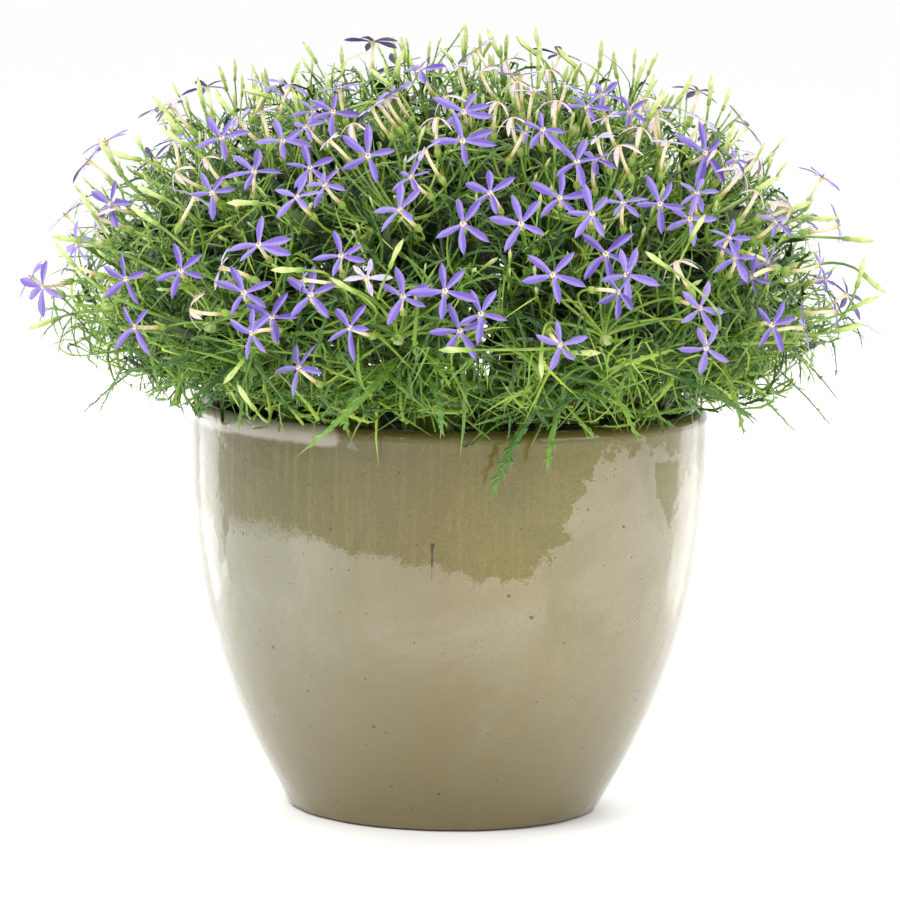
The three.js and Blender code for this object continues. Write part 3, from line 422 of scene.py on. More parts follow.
# The lip is olive too, but paler at the left; the foot is bare clay
smeared = [add(tree, "ShaderNodeMath", (smears, amount, axis), operation="MULTIPLY_ADD")
           for amount, axis in ((-0.006, z_axis), (0.05, x_axis), (0.006, z_axis))]
lip_height, lip_side, foot_height = smeared
bare = where(tree, (foot_height, 0.0062, 0.0036))
body = stained(tree, body, ("#5d5227", lip_height, 0.2265, 0.231, 0.75),
               ("#9c9484", where(tree, (lip_side, -0.032, -0.038), (lip_height, 0.2215, 0.2235))), ("#6e5a3c", bare))
pits = add(tree, "ShaderNodeMath", (specks[0], specks[1]), operation="ADD")
relief = add(tree, "ShaderNodeMath", (pits, -0.5, ripples), operation="MULTIPLY_ADD")
relief = add(tree, "ShaderNodeMath", (grain, 0.05, relief), operation="MULTIPLY_ADD")
rough = add(tree, "ShaderNodeMath", (bare, 0.55, 0.1), operation="MULTIPLY_ADD")
finish_surface(tree, body, (relief, 0.35, 0.0012), Roughness=rough, Coat_Weight=0.2, Coat_Roughness=0.06)

profile = [(r, -z, 0) for r, z in pot_profile()]
pot = grown("glazed_pot", curve_object("profile", [(profile, [1] * len(profile))]), turned, Steps_around=224,
            Waviness=0.0014, Foot_roll=0.0024, Glaze=glaze)
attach(pot, "root")
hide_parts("pot")


# Compost: dark, coarse peat mix that fills the pot to a finger's width below the lip, with bark chips and grit
# strewn over its top. The stems come up through it.
def inner_radius(height):
    """The pot's inside, less a hair's breadth."""
    return outer_radius(height) - WALL - 0.3


chance = np.random.default_rng(4)
STEPS, RINGS = 96, 16
HEAP_TOP = COMPOST_TOP - 3


def ring_of(radius, place, rough=0.0):
    """One ring of points round the pot's axis, lifted by chance by up to the roughness."""
    turns = np.arange(STEPS) * 2 * math.pi / STEPS
    return [(radius * math.cos(t), radius * math.sin(t), place + (chance.uniform(0, rough) if rough else 0))
            for t in turns]


points = [(0, 0, FLOOR + 0.3)] + ring_of(outer_radius(FLOOR) - WALL - 4.3, FLOOR + 0.3)
for z in (40, 90, 150, HEAP_TOP):
    points += ring_of(inner_radius(z), z)
for k in range(1, RINGS):
    points += ring_of(inner_radius(HEAP_TOP) * (1 - k / RINGS), HEAP_TOP, 4)
points.append((0, 0, COMPOST_TOP))
last = len(points) - 1 - STEPS
faces = []
for low in range(1, last, STEPS):
    faces += [(low + i, low + j, low + STEPS + j, low + STEPS + i)
              for i, j in ((i, (i + 1) % STEPS) for i in range(STEPS))]
faces += [(0, 1 + (i + 1) % STEPS, 1 + i) for i in range(STEPS)]
faces += [(last + i, last + (i + 1) % STEPS, len(points) - 1) for i in range(STEPS)]
heap = mesh_object("heap", points, faces)

chips = bpy.data.collections.new("crumbs")
for k in range(4):
    size = chance.uniform(0.6, 1.4, 3) * (1.0, 0.7, 0.45)
    corners = [unit(v) * size * chance.uniform(0.8, 1.2) for v in
               [(1, 0, 0), (-1, 0, 0), (0, 1, 0), (0, -1, 0), (0, 0, 1), (0, 0, -1)]]
    sides = [(0, 2, 4), (2, 1, 4), (1, 3, 4), (3, 0, 4), (2, 0, 5), (1, 2, 5), (3, 1, 5), (0, 3, 5)]
    chips.objects.link(mesh_object(f"crumb_{k}", np.array(corners), sides, {"tone": [chance.uniform()] * 6}))

strewn, given = new_modifier_tree("strewn_compost", Crumbs="Collection", Number_a_square_metre="Float",
                                  Smallest="Float", Largest="Float", Seed="Int", Compost="Material")
facing = add(strewn, "ShaderNodeSeparateXYZ", Vector=add(strewn, "GeometryNodeInputNormal"))
upward = add(strewn, "ShaderNodeMath", (facing.outputs["Z"], 0.3), operation="GREATER_THAN")
spots = add(strewn, "GeometryNodeDistributePointsOnFaces", Mesh=given["Geometry"], Selection=upward,
            Density=given["Number a square metre"], Seed=given["Seed"])
crumbs = add(strewn, "GeometryNodeCollectionInfo", Collection=given["Crumbs"], Separate_Children=True,
             Reset_Children=True)
spin = add(strewn, "FunctionNodeRandomValue", {0: (0, 0, 0), 1: (6.3, 6.3, 6.3), "Seed": 3},
           data_type="FLOAT_VECTOR")
grade = add(strewn, "FunctionNodeRandomValue", {2: given["Smallest"], 3: given["Largest"], "Seed": 5})
crumbs = add(strewn, "GeometryNodeInstanceOnPoints", Points=spots, Instance=crumbs, Pick_Instance=True,
             Rotation=spin.outputs[0], Scale=grade.outputs[1])


def joined(tree, *things):
    """Puts the things together and turns what is repeated into real geometry."""
    whole = add(tree, "GeometryNodeJoinGeometry")
    for thing in things:
        tree.links.new(thing, whole.inputs[0])
    return add(tree, "GeometryNodeRealizeInstances", Geometry=whole)


whole = joined(strewn, given["Geometry"], crumbs.outputs["Instances"])
whole = add(strewn, "GeometryNodeSetMaterial", Geometry=whole, Material=given["Compost"])
add(strewn, "NodeGroupOutput", Geometry=whole)

# Damp peat and bark: nearly black brown, with lighter fibres 3 mm wide
peat, tree, place = new_material("damp_bark_compost")
grain = add(tree, "ShaderNodeTexNoise", Vector=place, Scale=320.0, Detail=5.0)
colour = colour_steps(tree, grain, (0.3, "#1b130c"), (0.52, "#33241a"), (0.7, "#5a432e"), (0.85, "#7b6247"))
finish_surface(tree, colour, (grain, 0.8, 0.0015), Roughness=0.92)

compost = grown("compost_with_bark", heap, strewn, Crumbs=chips, Number_a_square_metre=16000.0, Smallest=1.2,
                Largest=3.2, Seed=2, Compost=peat)
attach(compost, "root")
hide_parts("compost")


# Shoots: soft stems that rise out of the compost, fork, and bend outward to a dense dome that also hangs over
# the rim. Leaves sit on them in a spiral: long, thin, arched blades, cut nearly to the midrib into narrow
# pointed lobes, and, higher up, plain narrow ones. Ribbed pale green buds stand out between them.
STEM_RADIUS = 3
MOUND_RADIUS = 250
MOUND_MIDDLE = 303
MOUND_RISE = 148
MOUND_DROP = 84
CROWN_RADIUS = 118
CROWN_POLAR = 120
SHOOT_RINGS = ((0, 1, 0), (27, 6, 20), (58, 10, 8), (95, 11, 0))
CORE_END = 0.8
BEAD_HEIGHT = 9
LEAF_LENGTH = 70
BUD_LENGTH = 17
SIGHT_REACH = 330

# Buds that stand clear: x and y of the tip in the picture, in pixels, the way that the stalk runs back, in
# degrees, the shoot that carries it, and how far it was moved along the sight line
BUDS = (
    (30, 328, 20, 23, 0), (52, 236, -10, 24, -12), (56, 243, -50, 24, -18), (81, 192, -60, 23, -12),
    (99, 139, -58, 12, 0), (112, 152, -15, 12, 0), (138, 186, -25, 23, 0), (133, 207, -35, 24, 0),
    (153, 97, -45, 12, -12), (164, 111, -50, 13, 6), (163, 129, -35, 12, -12), (198, 78, -78, 4, 0),
    (216, 94, -48, 13, 0), (243, 90, -15, 13, 0), (370, 68, -40, 14, 18), (404, 50, -110, 5, 0), (488, 30, -65, 0, 0),
    (517, 37, -40, 6, 0), (541, 43, -95, 6, 0), (558, 48, -45, 5, 0), (646, 60, -110, 6, 0), (654, 75, -110, 6, 0),
    (692, 76, -120, 6, 0), (711, 76, -95, 7, 0), (664, 93, -120, 16, -24), (734, 126, -110, 6, 6),
    (779, 178, -150, 16, 0), (811, 202, -155, 16, 6), (837, 218, 180, 27, 0), (873, 241, 175, 16, -12),
    (864, 259, -105, 17, 0), (885, 292, 140, 27, 0), (878, 297, -155, 27, 0), (862, 324, -165, 16, -6),
    (228, 203, 0, 24, 0), (272, 270, 0, 24, 6), (331, 278, -30, 24, 18), (238, 385, -55, 24, 0),
    (224, 383, 50, 24, 0), (403, 240, -115, 14, 0), (440, 350, 0, 26, 0), (542, 378, 90, 26, 12),
    (600, 353, 180, 26, 24), (646, 252, -35, 27, 0), (705, 215, -120, 27, 0),
)

# Leaves that hang over the rim: x and y in pixels where the blade starts and at its tip, and the shoot
RIM_LEAVES = (
    (385, 385, 295, 458, -1), (512, 425, 490, 503, 26), (548, 425, 547, 475, 26), (700, 375, 763, 425, 26),
    (190, 365, 112, 374, -1), (200, 375, 140, 398, 24), (225, 385, 176, 408, 24), (760, 395, 799, 436, 27),
    (735, 385, 745, 440, 27), (450, 395, 440, 440, 25), (620, 395, 640, 443, 26), (330, 395, 350, 440, 25),
)

# The long leaves of each shoot, up to four, by their place in the run of chance
LONG_LEAVES = (
    (176, 188, 194, 200), (212, 218, 224, 230), (236, 248, 254, 266), (272, 284, 290, 296), (308, 314, 320, 326),
    (332, 356, 362, 368), (380, 398, 404, 410), (416, 422, 428, 440), (470, 476, 494, 506), (512, 518, 524, 530),
    (536, 542, 554, 560), (566, 572, 578, 584), (590, 596, 602, 608), (614, 620, 626, 632), (644, 650, 656, 662),
    (668, 680, 698, 704), (722, 728, 734, 740), (752, 758, 764, 776), (782, 794, 800, 806), (812, 818, 824, 830),
    (836, 842, 848, 854), (866, 872, 878, 884), (890, 896, 902, 908), (914, 920, 926, 932), (938, 944), (950, 956),
    (), (962, 968),
)


def run_of_chance(seed, count):
    """The same run of chance as the solids were built with."""
    values = []
    for _ in range(count):
        seed = (seed * 1664525 + 1013904223) % 2 ** 32
        values.append(seed / 2 ** 32)
    return values


def sight_line(x, y):
    """The way from the eye through a pixel of the picture."""
    return unit(FORWARD + PICTURE_RIGHT * ((x - PICTURE_MIDDLE[0]) / FOCAL_PIXELS)
                + PICTURE_UP * ((PICTURE_MIDDLE[1] - y) / FOCAL_PIXELS))


def picture_way(degrees):
    """The way across the picture at this angle, counted from its right."""
    angle = math.radians(degrees)
    return PICTURE_RIGHT * math.cos(angle) + PICTURE_UP * math.sin(angle)


def reach(points):
    """How far out points lie in the mound: 1 on its surface and less inside."""
    points = np.asarray(points, float)
    half = np.where(points[..., 2] > MOUND_MIDDLE, MOUND_RISE, MOUND_DROP)
    return np.sqrt((points[..., 0] / MOUND_RADIUS) ** 2 + (points[..., 1] / MOUND_RADIUS) ** 2
                   + ((points[..., 2] - MOUND_MIDDLE) / half) ** 2)


def on_mound(x, y, share):
    """Where the line of sight through a pixel first comes this far into the mound."""
    far = np.linalg.norm(EYE)
    line = EYE + sight_line(x, y) * np.arange(far - SIGHT_REACH, far + SIGHT_REACH, 2)[:, None]
    depth = reach(line)
    inside = np.nonzero(depth < share)[0]
    return line[inside[0] if len(inside) else np.argmin(depth)]


def mound_point(polar, azimuth, share):
    """A point of the mound by its angle from straight up and its angle round the axis."""
    half = MOUND_RISE if polar < math.pi / 2 else MOUND_DROP
    out = MOUND_RADIUS * share * math.sin(polar)
    return np.array([out * math.cos(azimuth), out * math.sin(azimuth),
                     MOUND_MIDDLE + half * share * math.cos(polar)])


def mound_outward(point):
    """The way straight out of the mound at the point."""
    half = MOUND_RISE if point[2] > MOUND_MIDDLE else MOUND_DROP
    return unit([point[0] / MOUND_RADIUS ** 2, point[1] / MOUND_RADIUS ** 2, (point[2] - MOUND_MIDDLE) / half ** 2])


def arc(a, b, c, share):
    """A point, or several, on the arc from a to c that bends towards b."""
    share = np.asarray(share, float)[..., None]
    return a * (1 - share) ** 2 + b * 2 * share * (1 - share) + c * share ** 2


def arc_way(a, b, c, share):
    """The way that the arc runs at the share."""
    share = np.asarray(share, float)[..., None]
    return unit((b - a) * (1 - share) + (c - b) * share)


shoots = []
for polar, count, first in SHOOT_RINGS:
    for i in range(count):
        slope, azimuth = math.radians(polar), math.radians(first + i * 360 / count)
        foot = np.array([math.cos(azimuth), math.sin(azimuth), 0]) * CROWN_RADIUS * polar / CROWN_POLAR
        foot[2] = COMPOST_TOP
        tip = mound_point(slope, azimuth, 1)
        bend = foot + (tip - foot) * 0.1
        bend[2] = MOUND_MIDDLE - 7 + 40 * math.cos(slope)
        line = (foot, bend, tip)
        along = arc_way(*line, CORE_END)
        bead = arc(*line, CORE_END) + along * (0.3 + BEAD_HEIGHT / 2)
        aside = np.array([-math.sin(azimuth), math.cos(azimuth), 0])
        shoots.append({"line": line, "bead": bead, "along": along, "aside": aside})


def sliver(points, half_widths, upward, tip, first):
    """A narrow three-sided blade through the points, ridged on top, that ends in the tip."""
    points = np.asarray(points, float)
    ends = np.vstack([points, tip])
    ways = unit(np.vstack([ends[1:2] - ends[:1], ends[2:] - ends[:-2]]))
    aside = unit(np.cross(ways, upward))
    lift = unit(np.cross(aside, ways))
    w = np.asarray(half_widths, float)[:, None]
    ring = np.stack([points - aside * w, points + aside * w, points + lift * w * 0.42], axis=1)
    corners = np.vstack([ring.reshape(-1, 3), [tip]])
    faces = [(0, 1, 2)]
    for k in range(len(points) - 1):
        for i in range(3):
            j = (i + 1) % 3
            faces.append((3 * k + j, 3 * k + i, 3 * k + 3 + i, 3 * k + 3 + j))
    top = 3 * len(points)
    low = top - 3
    faces += [(low + (i + 1) % 3, low + i, top) for i in range(3)]
    return corners, [tuple(first + c for c in face) for face in faces]


def cut_leaf(root, bend, tip, upward, lobes, dice, wide=1.0):
    """Points, faces and the share along the blade of one finely cut leaf."""
    length = np.linalg.norm(tip - root)
    shares = np.array([0.0, 0.22, 0.45, 0.68, 0.86])
    width = np.array([0.013, 0.021, 0.029, 0.026, 0.015]) * length * wide
    points, faces = sliver(arc(root, bend, tip, shares), width, upward, tip, 0)
    along = list(np.repeat(shares, 3)) + [1.0]
    for k in range(lobes):
        share = 0.2 + 0.68 * (k + dice.uniform(-0.2, 0.2)) / max(lobes - 1, 1)
        share = min(max(share, 0.14), 0.92)
        hand = 1 if k % 2 else -1
        ahead = arc_way(root, bend, tip, share)
        aside = unit(np.cross(ahead, upward)) * hand
        lift = unit(np.cross(aside, ahead)) * hand
        size = length * dice.uniform(0.07, 0.15) * (1.1 - 0.45 * share) * wide
        open_angle = math.radians(dice.uniform(30, 58))
        way = ahead * math.cos(open_angle) + aside * math.sin(open_angle)
        start = arc(root, bend, tip, share)
        middle = start + way * size * 0.55 + lift * size * dice.uniform(-0.05, 0.16)
        end = start + unit(way * 0.75 + ahead * 0.5) * size + lift * size * dice.uniform(-0.2, 0.25)
        half = length * 0.019 * wide
        if 0 < k < lobes - 1:
            more, more_faces = sliver([start, middle], [half, half * 0.8], upward, end, len(points))
            along += [share] * 3 + [share + 0.06] * 3 + [share + 0.14]
        else:
            more, more_faces = sliver([start], [half], upward, end, len(points))
            along += [share] * 3 + [share + 0.14]
        points = np.vstack([points, more])
        faces += more_faces
    return points, faces, np.array(along)


def basis_turn(along, upward):
    """Turning angles that lay a shape's Y along the way and its Z as near as can be to the other one."""
    aside = unit(np.cross(along, upward))
    face = np.cross(aside, along)
    m = np.stack([aside, along, face], axis=-1)
    level = np.hypot(m[..., 0, 0], m[..., 1, 0])
    return np.stack([np.arctan2(m[..., 2, 1], m[..., 2, 2]), np.arctan2(-m[..., 2, 0], level),
                     np.arctan2(m[..., 1, 0], m[..., 0, 0])], axis=-1)


def shape_object(collection, name, points, faces, along, part, side=None):
    """A shape to be repeated, one unit long: shares along and across the blade and the number of its part."""
    side = np.zeros(len(points)) if side is None else side
    shape = mesh_object(name, np.asarray(points) / MM, faces, {"along": along, "side": side})
    layer = shape.data.attributes.new("part", "INT", "FACE")
    layer.data.foreach_set("value", np.broadcast_to(part, len(faces)).astype(np.int32))
    collection.objects.link(shape)


# The shapes that grow on the shoots: twelve cut leaves, four plain narrow ones, three buds and a broad leaf
dice = np.random.default_rng(11)
growths = bpy.data.collections.new("growths")
CUT, PLAIN, BUD, BROAD = range(0, 12), range(12, 16), range(16, 19), 19
ORIGIN, Y = np.zeros(3), np.array([0.0, 1.0, 0.0])


def plain_leaf(number, shares, widths, bend, tip):
    """A blade without lobes, from the origin along Y."""
    points, faces = sliver(arc(ORIGIN, bend, tip, shares), widths, UP, tip, 0)
    shape_object(growths, f"growth_{number:02d}", points, faces, [*np.repeat(shares, 3), 1], 0)


for k in CUT:
    arch = dice.uniform(0.15, 1.0)
    curl = dice.uniform(-0.4, 0.4)
    tip = unit([curl, 1.0, -arch]) * dice.uniform(0.8, 0.98)
    bend = np.array([-curl * 0.8, 0.55, 0.2 + arch * 0.75])
    shape_object(growths, f"growth_{k:02d}", *cut_leaf(ORIGIN, bend, tip, UP, 7, dice), 0)
for k in PLAIN:
    curl = dice.uniform(-0.5, 0.5)
    plain_leaf(k, (0.0, 0.2, 0.42, 0.64, 0.84), (0.012, 0.018, 0.020, 0.017, 0.010),
               np.array([-curl * 0.9, 0.55, 0.35]), unit([curl, 1, -0.35 * (k % 3)]))


def ringed(levels, sides, ribs=0.0, bow=(0, 0)):
    """A closed spindle along Y through the (place, radius) levels; every other side stands out as a rib."""
    points, along = [(0.0, levels[0][0], 0.0)], [0.0]
    for place, radius in levels:
        share = (place - levels[0][0]) / (levels[-1][0] - levels[0][0])
        sway = 4 * share * (1 - share)
        for k in range(sides):
            r = radius * (1 + (ribs if k % 2 else -ribs))
            angle = 2 * math.pi * k / sides
            points.append((r * math.cos(angle) + bow[0] * sway, place, r * math.sin(angle) + bow[1] * sway))
            along.append(share)
    points.append((0.0, levels[-1][0], 0.0))
    along.append(1.0)
    faces = [(0, 1 + k, 1 + (k + 1) % sides) for k in range(sides)]
    for row in range(len(levels) - 1):
        low = 1 + row * sides
        faces += [(low + k, low + sides + k, low + sides + (k + 1) % sides, low + (k + 1) % sides)
                  for k in range(sides)]
    low = 1 + (len(levels) - 1) * sides
    faces += [(low + (k + 1) % sides, low + k, len(points) - 1) for k in range(sides)]
    return points, faces, along


BUD_LEVELS = ((0, 0.03), (0.03, 0.07), (0.2, 0.078), (0.26, 0.06), (0.45, 0.075), (0.68, 0.092), (0.88, 0.05),
              (1, 0.006))
for k in BUD:
    shape_object(growths, f"growth_{k:02d}", *ringed(BUD_LEVELS, 8, 0.12, dice.uniform(-0.03, 0.03, 2)), 2)
plain_leaf(BROAD, (0.0, 0.25, 0.5, 0.75), (0.03, 0.08, 0.085, 0.06), np.array([0, 0.5, 0.15]),
           np.array([0.05, 1, -0.1]))

# Every shape and stalk of a spray or shoot in one tree: shapes stand on points that tell their turn, size and
# number, stalks follow lines, and each part gets its own material.
growth, given = new_modifier_tree("growth_on_stalks", Shapes="Collection", Stalks="Object", Stalk_sides="Int",
                                  Part_0="Material", Part_1="Material", Part_2="Material", Part_3="Material")
told = {name: add(growth, "GeometryNodeInputNamedAttribute", Name=name, data_type=kind).outputs["Attribute"]
        for name, kind in (("turn", "FLOAT_VECTOR"), ("size", "FLOAT"), ("shape", "INT"), ("part", "INT"))}
shapes = add(growth, "GeometryNodeCollectionInfo", Collection=given["Shapes"], Separate_Children=True,
             Reset_Children=True)
stood = add(growth, "GeometryNodeInstanceOnPoints", Points=given["Geometry"], Instance=shapes, Pick_Instance=True,
            Instance_Index=told["shape"], Rotation=told["turn"], Scale=told["size"])
lines = add(growth, "GeometryNodeObjectInfo", Object=given["Stalks"]).outputs["Geometry"]
ring = add(growth, "GeometryNodeCurvePrimitiveCircle", Resolution=given["Stalk sides"], Radius=1.0)
stalks = add(growth, "GeometryNodeCurveToMesh", Curve=lines, Profile_Curve=ring, Fill_Caps=True,
             Scale=add(growth, "GeometryNodeInputRadius"))
stalks = add(growth, "GeometryNodeStoreNamedAttribute", Geometry=stalks, Name="part", Value=1, data_type="INT",
             domain="FACE")
whole = joined(growth, stood.outputs["Instances"], stalks.outputs["Geometry"])
for k in range(4):
    same = add(growth, "FunctionNodeCompare", {2: told["part"], 3: k}, data_type="INT", operation="EQUAL")
    whole = add(growth, "GeometryNodeSetMaterial", Geometry=whole, Selection=same, Material=given[f"Part {k}"])
add(growth, "NodeGroupOutput", Geometry=whole)


def grow(name, points, stalk_lines, shapes, *materials):
    """One piece from rows of (place, turn, size, shape, tone) and from stalk lines."""
    places, turns, sizes, numbers, tones = zip(*points)
    base = mesh_object(name + "_points", places, [],
                       {"turn": np.array(turns), "size": np.array(sizes) * MM,
                        "shape": np.array(numbers, dtype=np.int32), "tone": np.array(tones, dtype=float)})
    lines = curve_object(name + "_lines", stalk_lines)
    parts = {f"Part_{k}": material for k, material in enumerate(materials)}
    piece = grown(name, base, growth, Shapes=shapes, Stalks=lines, Stalk_sides=5, **parts)
    bpy.data.objects.remove(lines)
    return piece


# Where the blooms stand. The leaves leave them room, so their places come first. Each row holds, in picture
# pixels, x and y of the throat and of one petal tip; the way the tube runs back and the tilt away from the
# eye, in degrees; the star's radius; its spray; how far it was moved along the sight line, in millimetres;
# its colour: 0 violet, 1 deep, 2 light, 3 faded, 4 withered; and x and y of the further petal tips that the
# picture shows.
BLOOMS = (
    (88, 161, 110, 145, -42, 85, 27, 12, 0, 2), (110, 204, 120, 182, -22, 45, 28, 13, 0, 1, 93, 191, 93, 228),
    (77, 245, 76, 220, 5, 60, 27, 23, 0, 2, 85, 262, 55, 258),
    (43, 287, 43, 260, 12, 50, 30, 23, 0, 0, 18, 277, 20, 302, 40, 320, 62, 297),
    (68, 263, 66, 245, -22, 80, 18, 23, -18, 0),
    (126, 279, 119, 252, 8, 35, 31, 24, 0, 1, 100, 267, 106, 300, 136, 306, 138, 274),
    (181, 271, 179, 243, -60, 15, 29, 24, 0, 1, 201, 252, 204, 277, 168, 298, 155, 281),
    (135, 327, 121, 308, 0, 50, 32, 24, 0, 0, 143, 313, 112, 349, 151, 358, 146, 343),
    (160, 107, 135, 102, -60, 85, 28, 12, 0, 3), (172, 106, 183, 88, -50, 85, 28, 12, -6, 3),
    (175, 140, 155, 140, -80, 80, 24, 13, 0, 0),
    (222, 138, 204, 118, -65, 30, 29, 13, 0, 0, 233, 115, 250, 129, 226, 160, 193, 146),
    (254, 172, 264, 146, -90, 40, 31, 13, 0, 0, 232, 151, 282, 170, 222, 177, 250, 180),
    (212, 193, 213, 220, -60, 15, 27, 13, 0, 0, 199, 172, 222, 175, 235, 187, 193, 195),
    (195, 197, 175, 182, -118, 85, 26, 13, 12, 3), (268, 87, 246, 72, -115, 80, 26, 4, 0, 0),
    (291, 86, 275, 73, -110, 85, 26, 4, 0, 0), (340, 88, 315, 67, -80, 75, 27, 5, 0, 0),
    (333, 112, 335, 92, -90, 20, 28, 14, 0, 0, 360, 117, 328, 137, 315, 118),
    (313, 112, 300, 95, -90, 40, 24, 14, 6, 0),
    (283, 141, 273, 117, -90, 30, 29, 14, 0, 0, 304, 130, 313, 143, 282, 153, 254, 140),
    (306, 127, 287, 122, -45, 50, 22, 14, -18, 0), (310, 168, 302, 143, -90, 35, 29, 14, 0, 0, 335, 156, 285, 164),
    (325, 185, 322, 170, -50, 45, 26, 14, -6, 0, 338, 166, 345, 188, 316, 208, 303, 183),
    (297, 197, 276, 190, -50, 45, 28, 14, -12, 0, 308, 175, 306, 212, 275, 217),
    (368, 156, 369, 122, -80, 8, 34, 14, 0, 0, 341, 135, 395, 148, 343, 172, 380, 182),
    (259, 245, 260, 213, -55, 30, 33, 25, 0, 0, 225, 245, 292, 240, 288, 257, 240, 262),
    (341, 256, 338, 231, -85, 30, 30, 25, 0, 0, 311, 257, 363, 249, 365, 263, 333, 273),
    (367, 278, 374, 258, -80, 20, 25, 25, -6, 3, 393, 277, 372, 292, 343, 278, 353, 268),
    (244, 293, 234, 263, -60, 15, 32, 24, 0, 0, 272, 280, 217, 278, 230, 310, 268, 305),
    (311, 295, 285, 277, -60, 20, 31, 25, 0, 0, 336, 283, 291, 317, 329, 319),
    (272, 318, 285, 288, -80, 40, 32, 24, 6, 1, 240, 300, 298, 315, 278, 350),
    (252, 333, 268, 312, 5, 45, 31, 24, -18, 0, 225, 322, 246, 361, 267, 356, 253, 310),
    (350, 328, 336, 304, -20, 40, 32, 25, 0, 1, 363, 303, 328, 342, 351, 362, 370, 330),
    (299, 368, 293, 343, -38, 45, 31, 25, 0, 0, 315, 341, 267, 370, 321, 371, 290, 396),
    (221, 268, 232, 250, -20, 80, 24, 24, 0, 3), (190, 310, 190, 292, -5, 85, 22, 24, 0, 4),
    (420, 70, 406, 60, -60, 65, 26, 5, 0, 1, 429, 53, 445, 65, 427, 90, 395, 70),
    (476, 50, 465, 40, -57, 85, 26, 0, 0, 3), (520, 75, 505, 70, -88, 85, 25, 6, 0, 3),
    (378, 103, 360, 112, -52, 85, 32, 5, 0, 0), (395, 92, 385, 75, -60, 70, 24, 5, 12, 0),
    (464, 112, 432, 97, -80, 20, 31, 15, 0, 0, 475, 90, 490, 103, 492, 122, 447, 122),
    (463, 141, 453, 111, -80, 15, 32, 14, 0, 0, 493, 128, 497, 143, 463, 165, 430, 140),
    (411, 177, 391, 168, -45, 50, 24, 14, 0, 0),
    (400, 210, 403, 183, -45, 45, 30, 14, 0, 0, 422, 190, 362, 212, 380, 232, 412, 217),
    (463, 224, 457, 197, -80, 10, 32, 25, 0, 0, 481, 200, 436, 239, 459, 255, 490, 241),
    (490, 193, 463, 182, -60, 35, 30, 15, 0, 0, 516, 178, 499, 213, 462, 212),
    (521, 224, 516, 193, -80, 8, 33, 26, 0, 0, 540, 200, 488, 218, 505, 252, 541, 233),
    (524, 133, 512, 118, -118, 60, 20, 15, 0, 0),
    (543, 130, 539, 115, -90, 30, 27, 15, -12, 0, 565, 130, 528, 125, 566, 155),
    (560, 198, 529, 182, -90, 15, 31, 15, 0, 0, 566, 172, 592, 195, 570, 212, 538, 215),
    (577, 162, 545, 135, -90, 40, 34, 15, 0, 0, 597, 157, 560, 173, 585, 186),
    (595, 160, 619, 148, -90, 60, 26, 15, 12, 0),
    (592, 214, 583, 182, -90, 20, 32, 15, -6, 0, 606, 198, 566, 213, 604, 238),
    (587, 107, 575, 97, -80, 45, 26, 6, 0, 0, 560, 107, 595, 120, 612, 108), (603, 95, 590, 80, -90, 50, 24, 6, 0, 0),
    (630, 112, 620, 95, -90, 30, 20, 6, 0, 0), (623, 203, 640, 198, -90, 45, 25, 26, 0, 0),
    (660, 204, 647, 175, -90, 8, 31, 26, 0, 0, 675, 183, 640, 205, 685, 211, 661, 234),
    (690, 219, 695, 193, -90, 10, 29, 26, 6, 2, 671, 208, 665, 229, 697, 246, 718, 219),
    (697, 193, 705, 170, -90, 40, 25, 26, 0, 0),
    (705, 153, 670, 133, -148, 35, 35, 16, 0, 1, 723, 142, 698, 186, 726, 182),
    (656, 110, 640, 100, -85, 85, 24, 16, 0, 3), (747, 127, 714, 119, -135, 85, 30, 16, 0, 3),
    (735, 160, 722, 150, -130, 60, 20, 16, 0, 0), (757, 157, 745, 145, -135, 85, 22, 16, 0, 4),
    (775, 222, 766, 202, -140, 50, 24, 27, 0, 0), (838, 226, 827, 207, 190, 85, 24, 27, 0, 3),
    (820, 265, 808, 245, 190, 75, 24, 27, 0, 0), (826, 280, 820, 268, 190, 30, 14, 27, 12, 0),
    (735, 258, 716, 243, -110, 30, 27, 27, 0, 0, 752, 257, 748, 286), (729, 238, 715, 228, -110, 40, 24, 27, -6, 0),
    (752, 277, 757, 257, 20, 50, 24, 27, 12, 0), (768, 262, 778, 245, 160, 50, 22, 27, 12, 0),
    (772, 325, 787, 302, 180, 20, 29, 27, 0, 0, 797, 317, 785, 353, 760, 348, 766, 318),
    (803, 328, 811, 308, 188, 85, 28, 27, 0, 2), (836, 312, 845, 298, 185, 75, 20, 27, 0, 0),
    (403, 297, 401, 264, -90, 25, 32, 25, 0, 0, 378, 283, 388, 324, 424, 311),
    (445, 291, 440, 262, -90, 8, 33, 25, -6, 0, 464, 268, 479, 300, 441, 321, 404, 297),
    (481, 314, 470, 289, -90, 12, 31, 25, 0, 0, 494, 288, 508, 319, 481, 345, 465, 322),
    (460, 331, 449, 303, -90, 10, 31, 25, 6, 0, 428, 333, 446, 355, 479, 358, 488, 321),
    (553, 275, 527, 255, -85, 15, 33, 26, 0, 0, 574, 250, 522, 285, 587, 285, 561, 303),
    (560, 345, 558, 321, 130, 30, 29, 26, 0, 0, 588, 334, 536, 337, 551, 373, 573, 364),
    (606, 254, 582, 232, -90, 10, 34, 26, 6, 1, 631, 230, 580, 277, 612, 285),
    (627, 275, 619, 248, -90, 8, 34, 26, -6, 2, 641, 248, 601, 281, 661, 283, 629, 308),
    (618, 292, 600, 305, 175, 45, 28, 26, -18, 1, 643, 315, 610, 280),
    (700, 308, 681, 294, 160, 40, 30, 26, 0, 2, 711, 281, 729, 313, 682, 324, 710, 338),
    (706, 348, 698, 326, 100, 30, 29, 26, -6, 0, 721, 327, 730, 363, 702, 377),
)

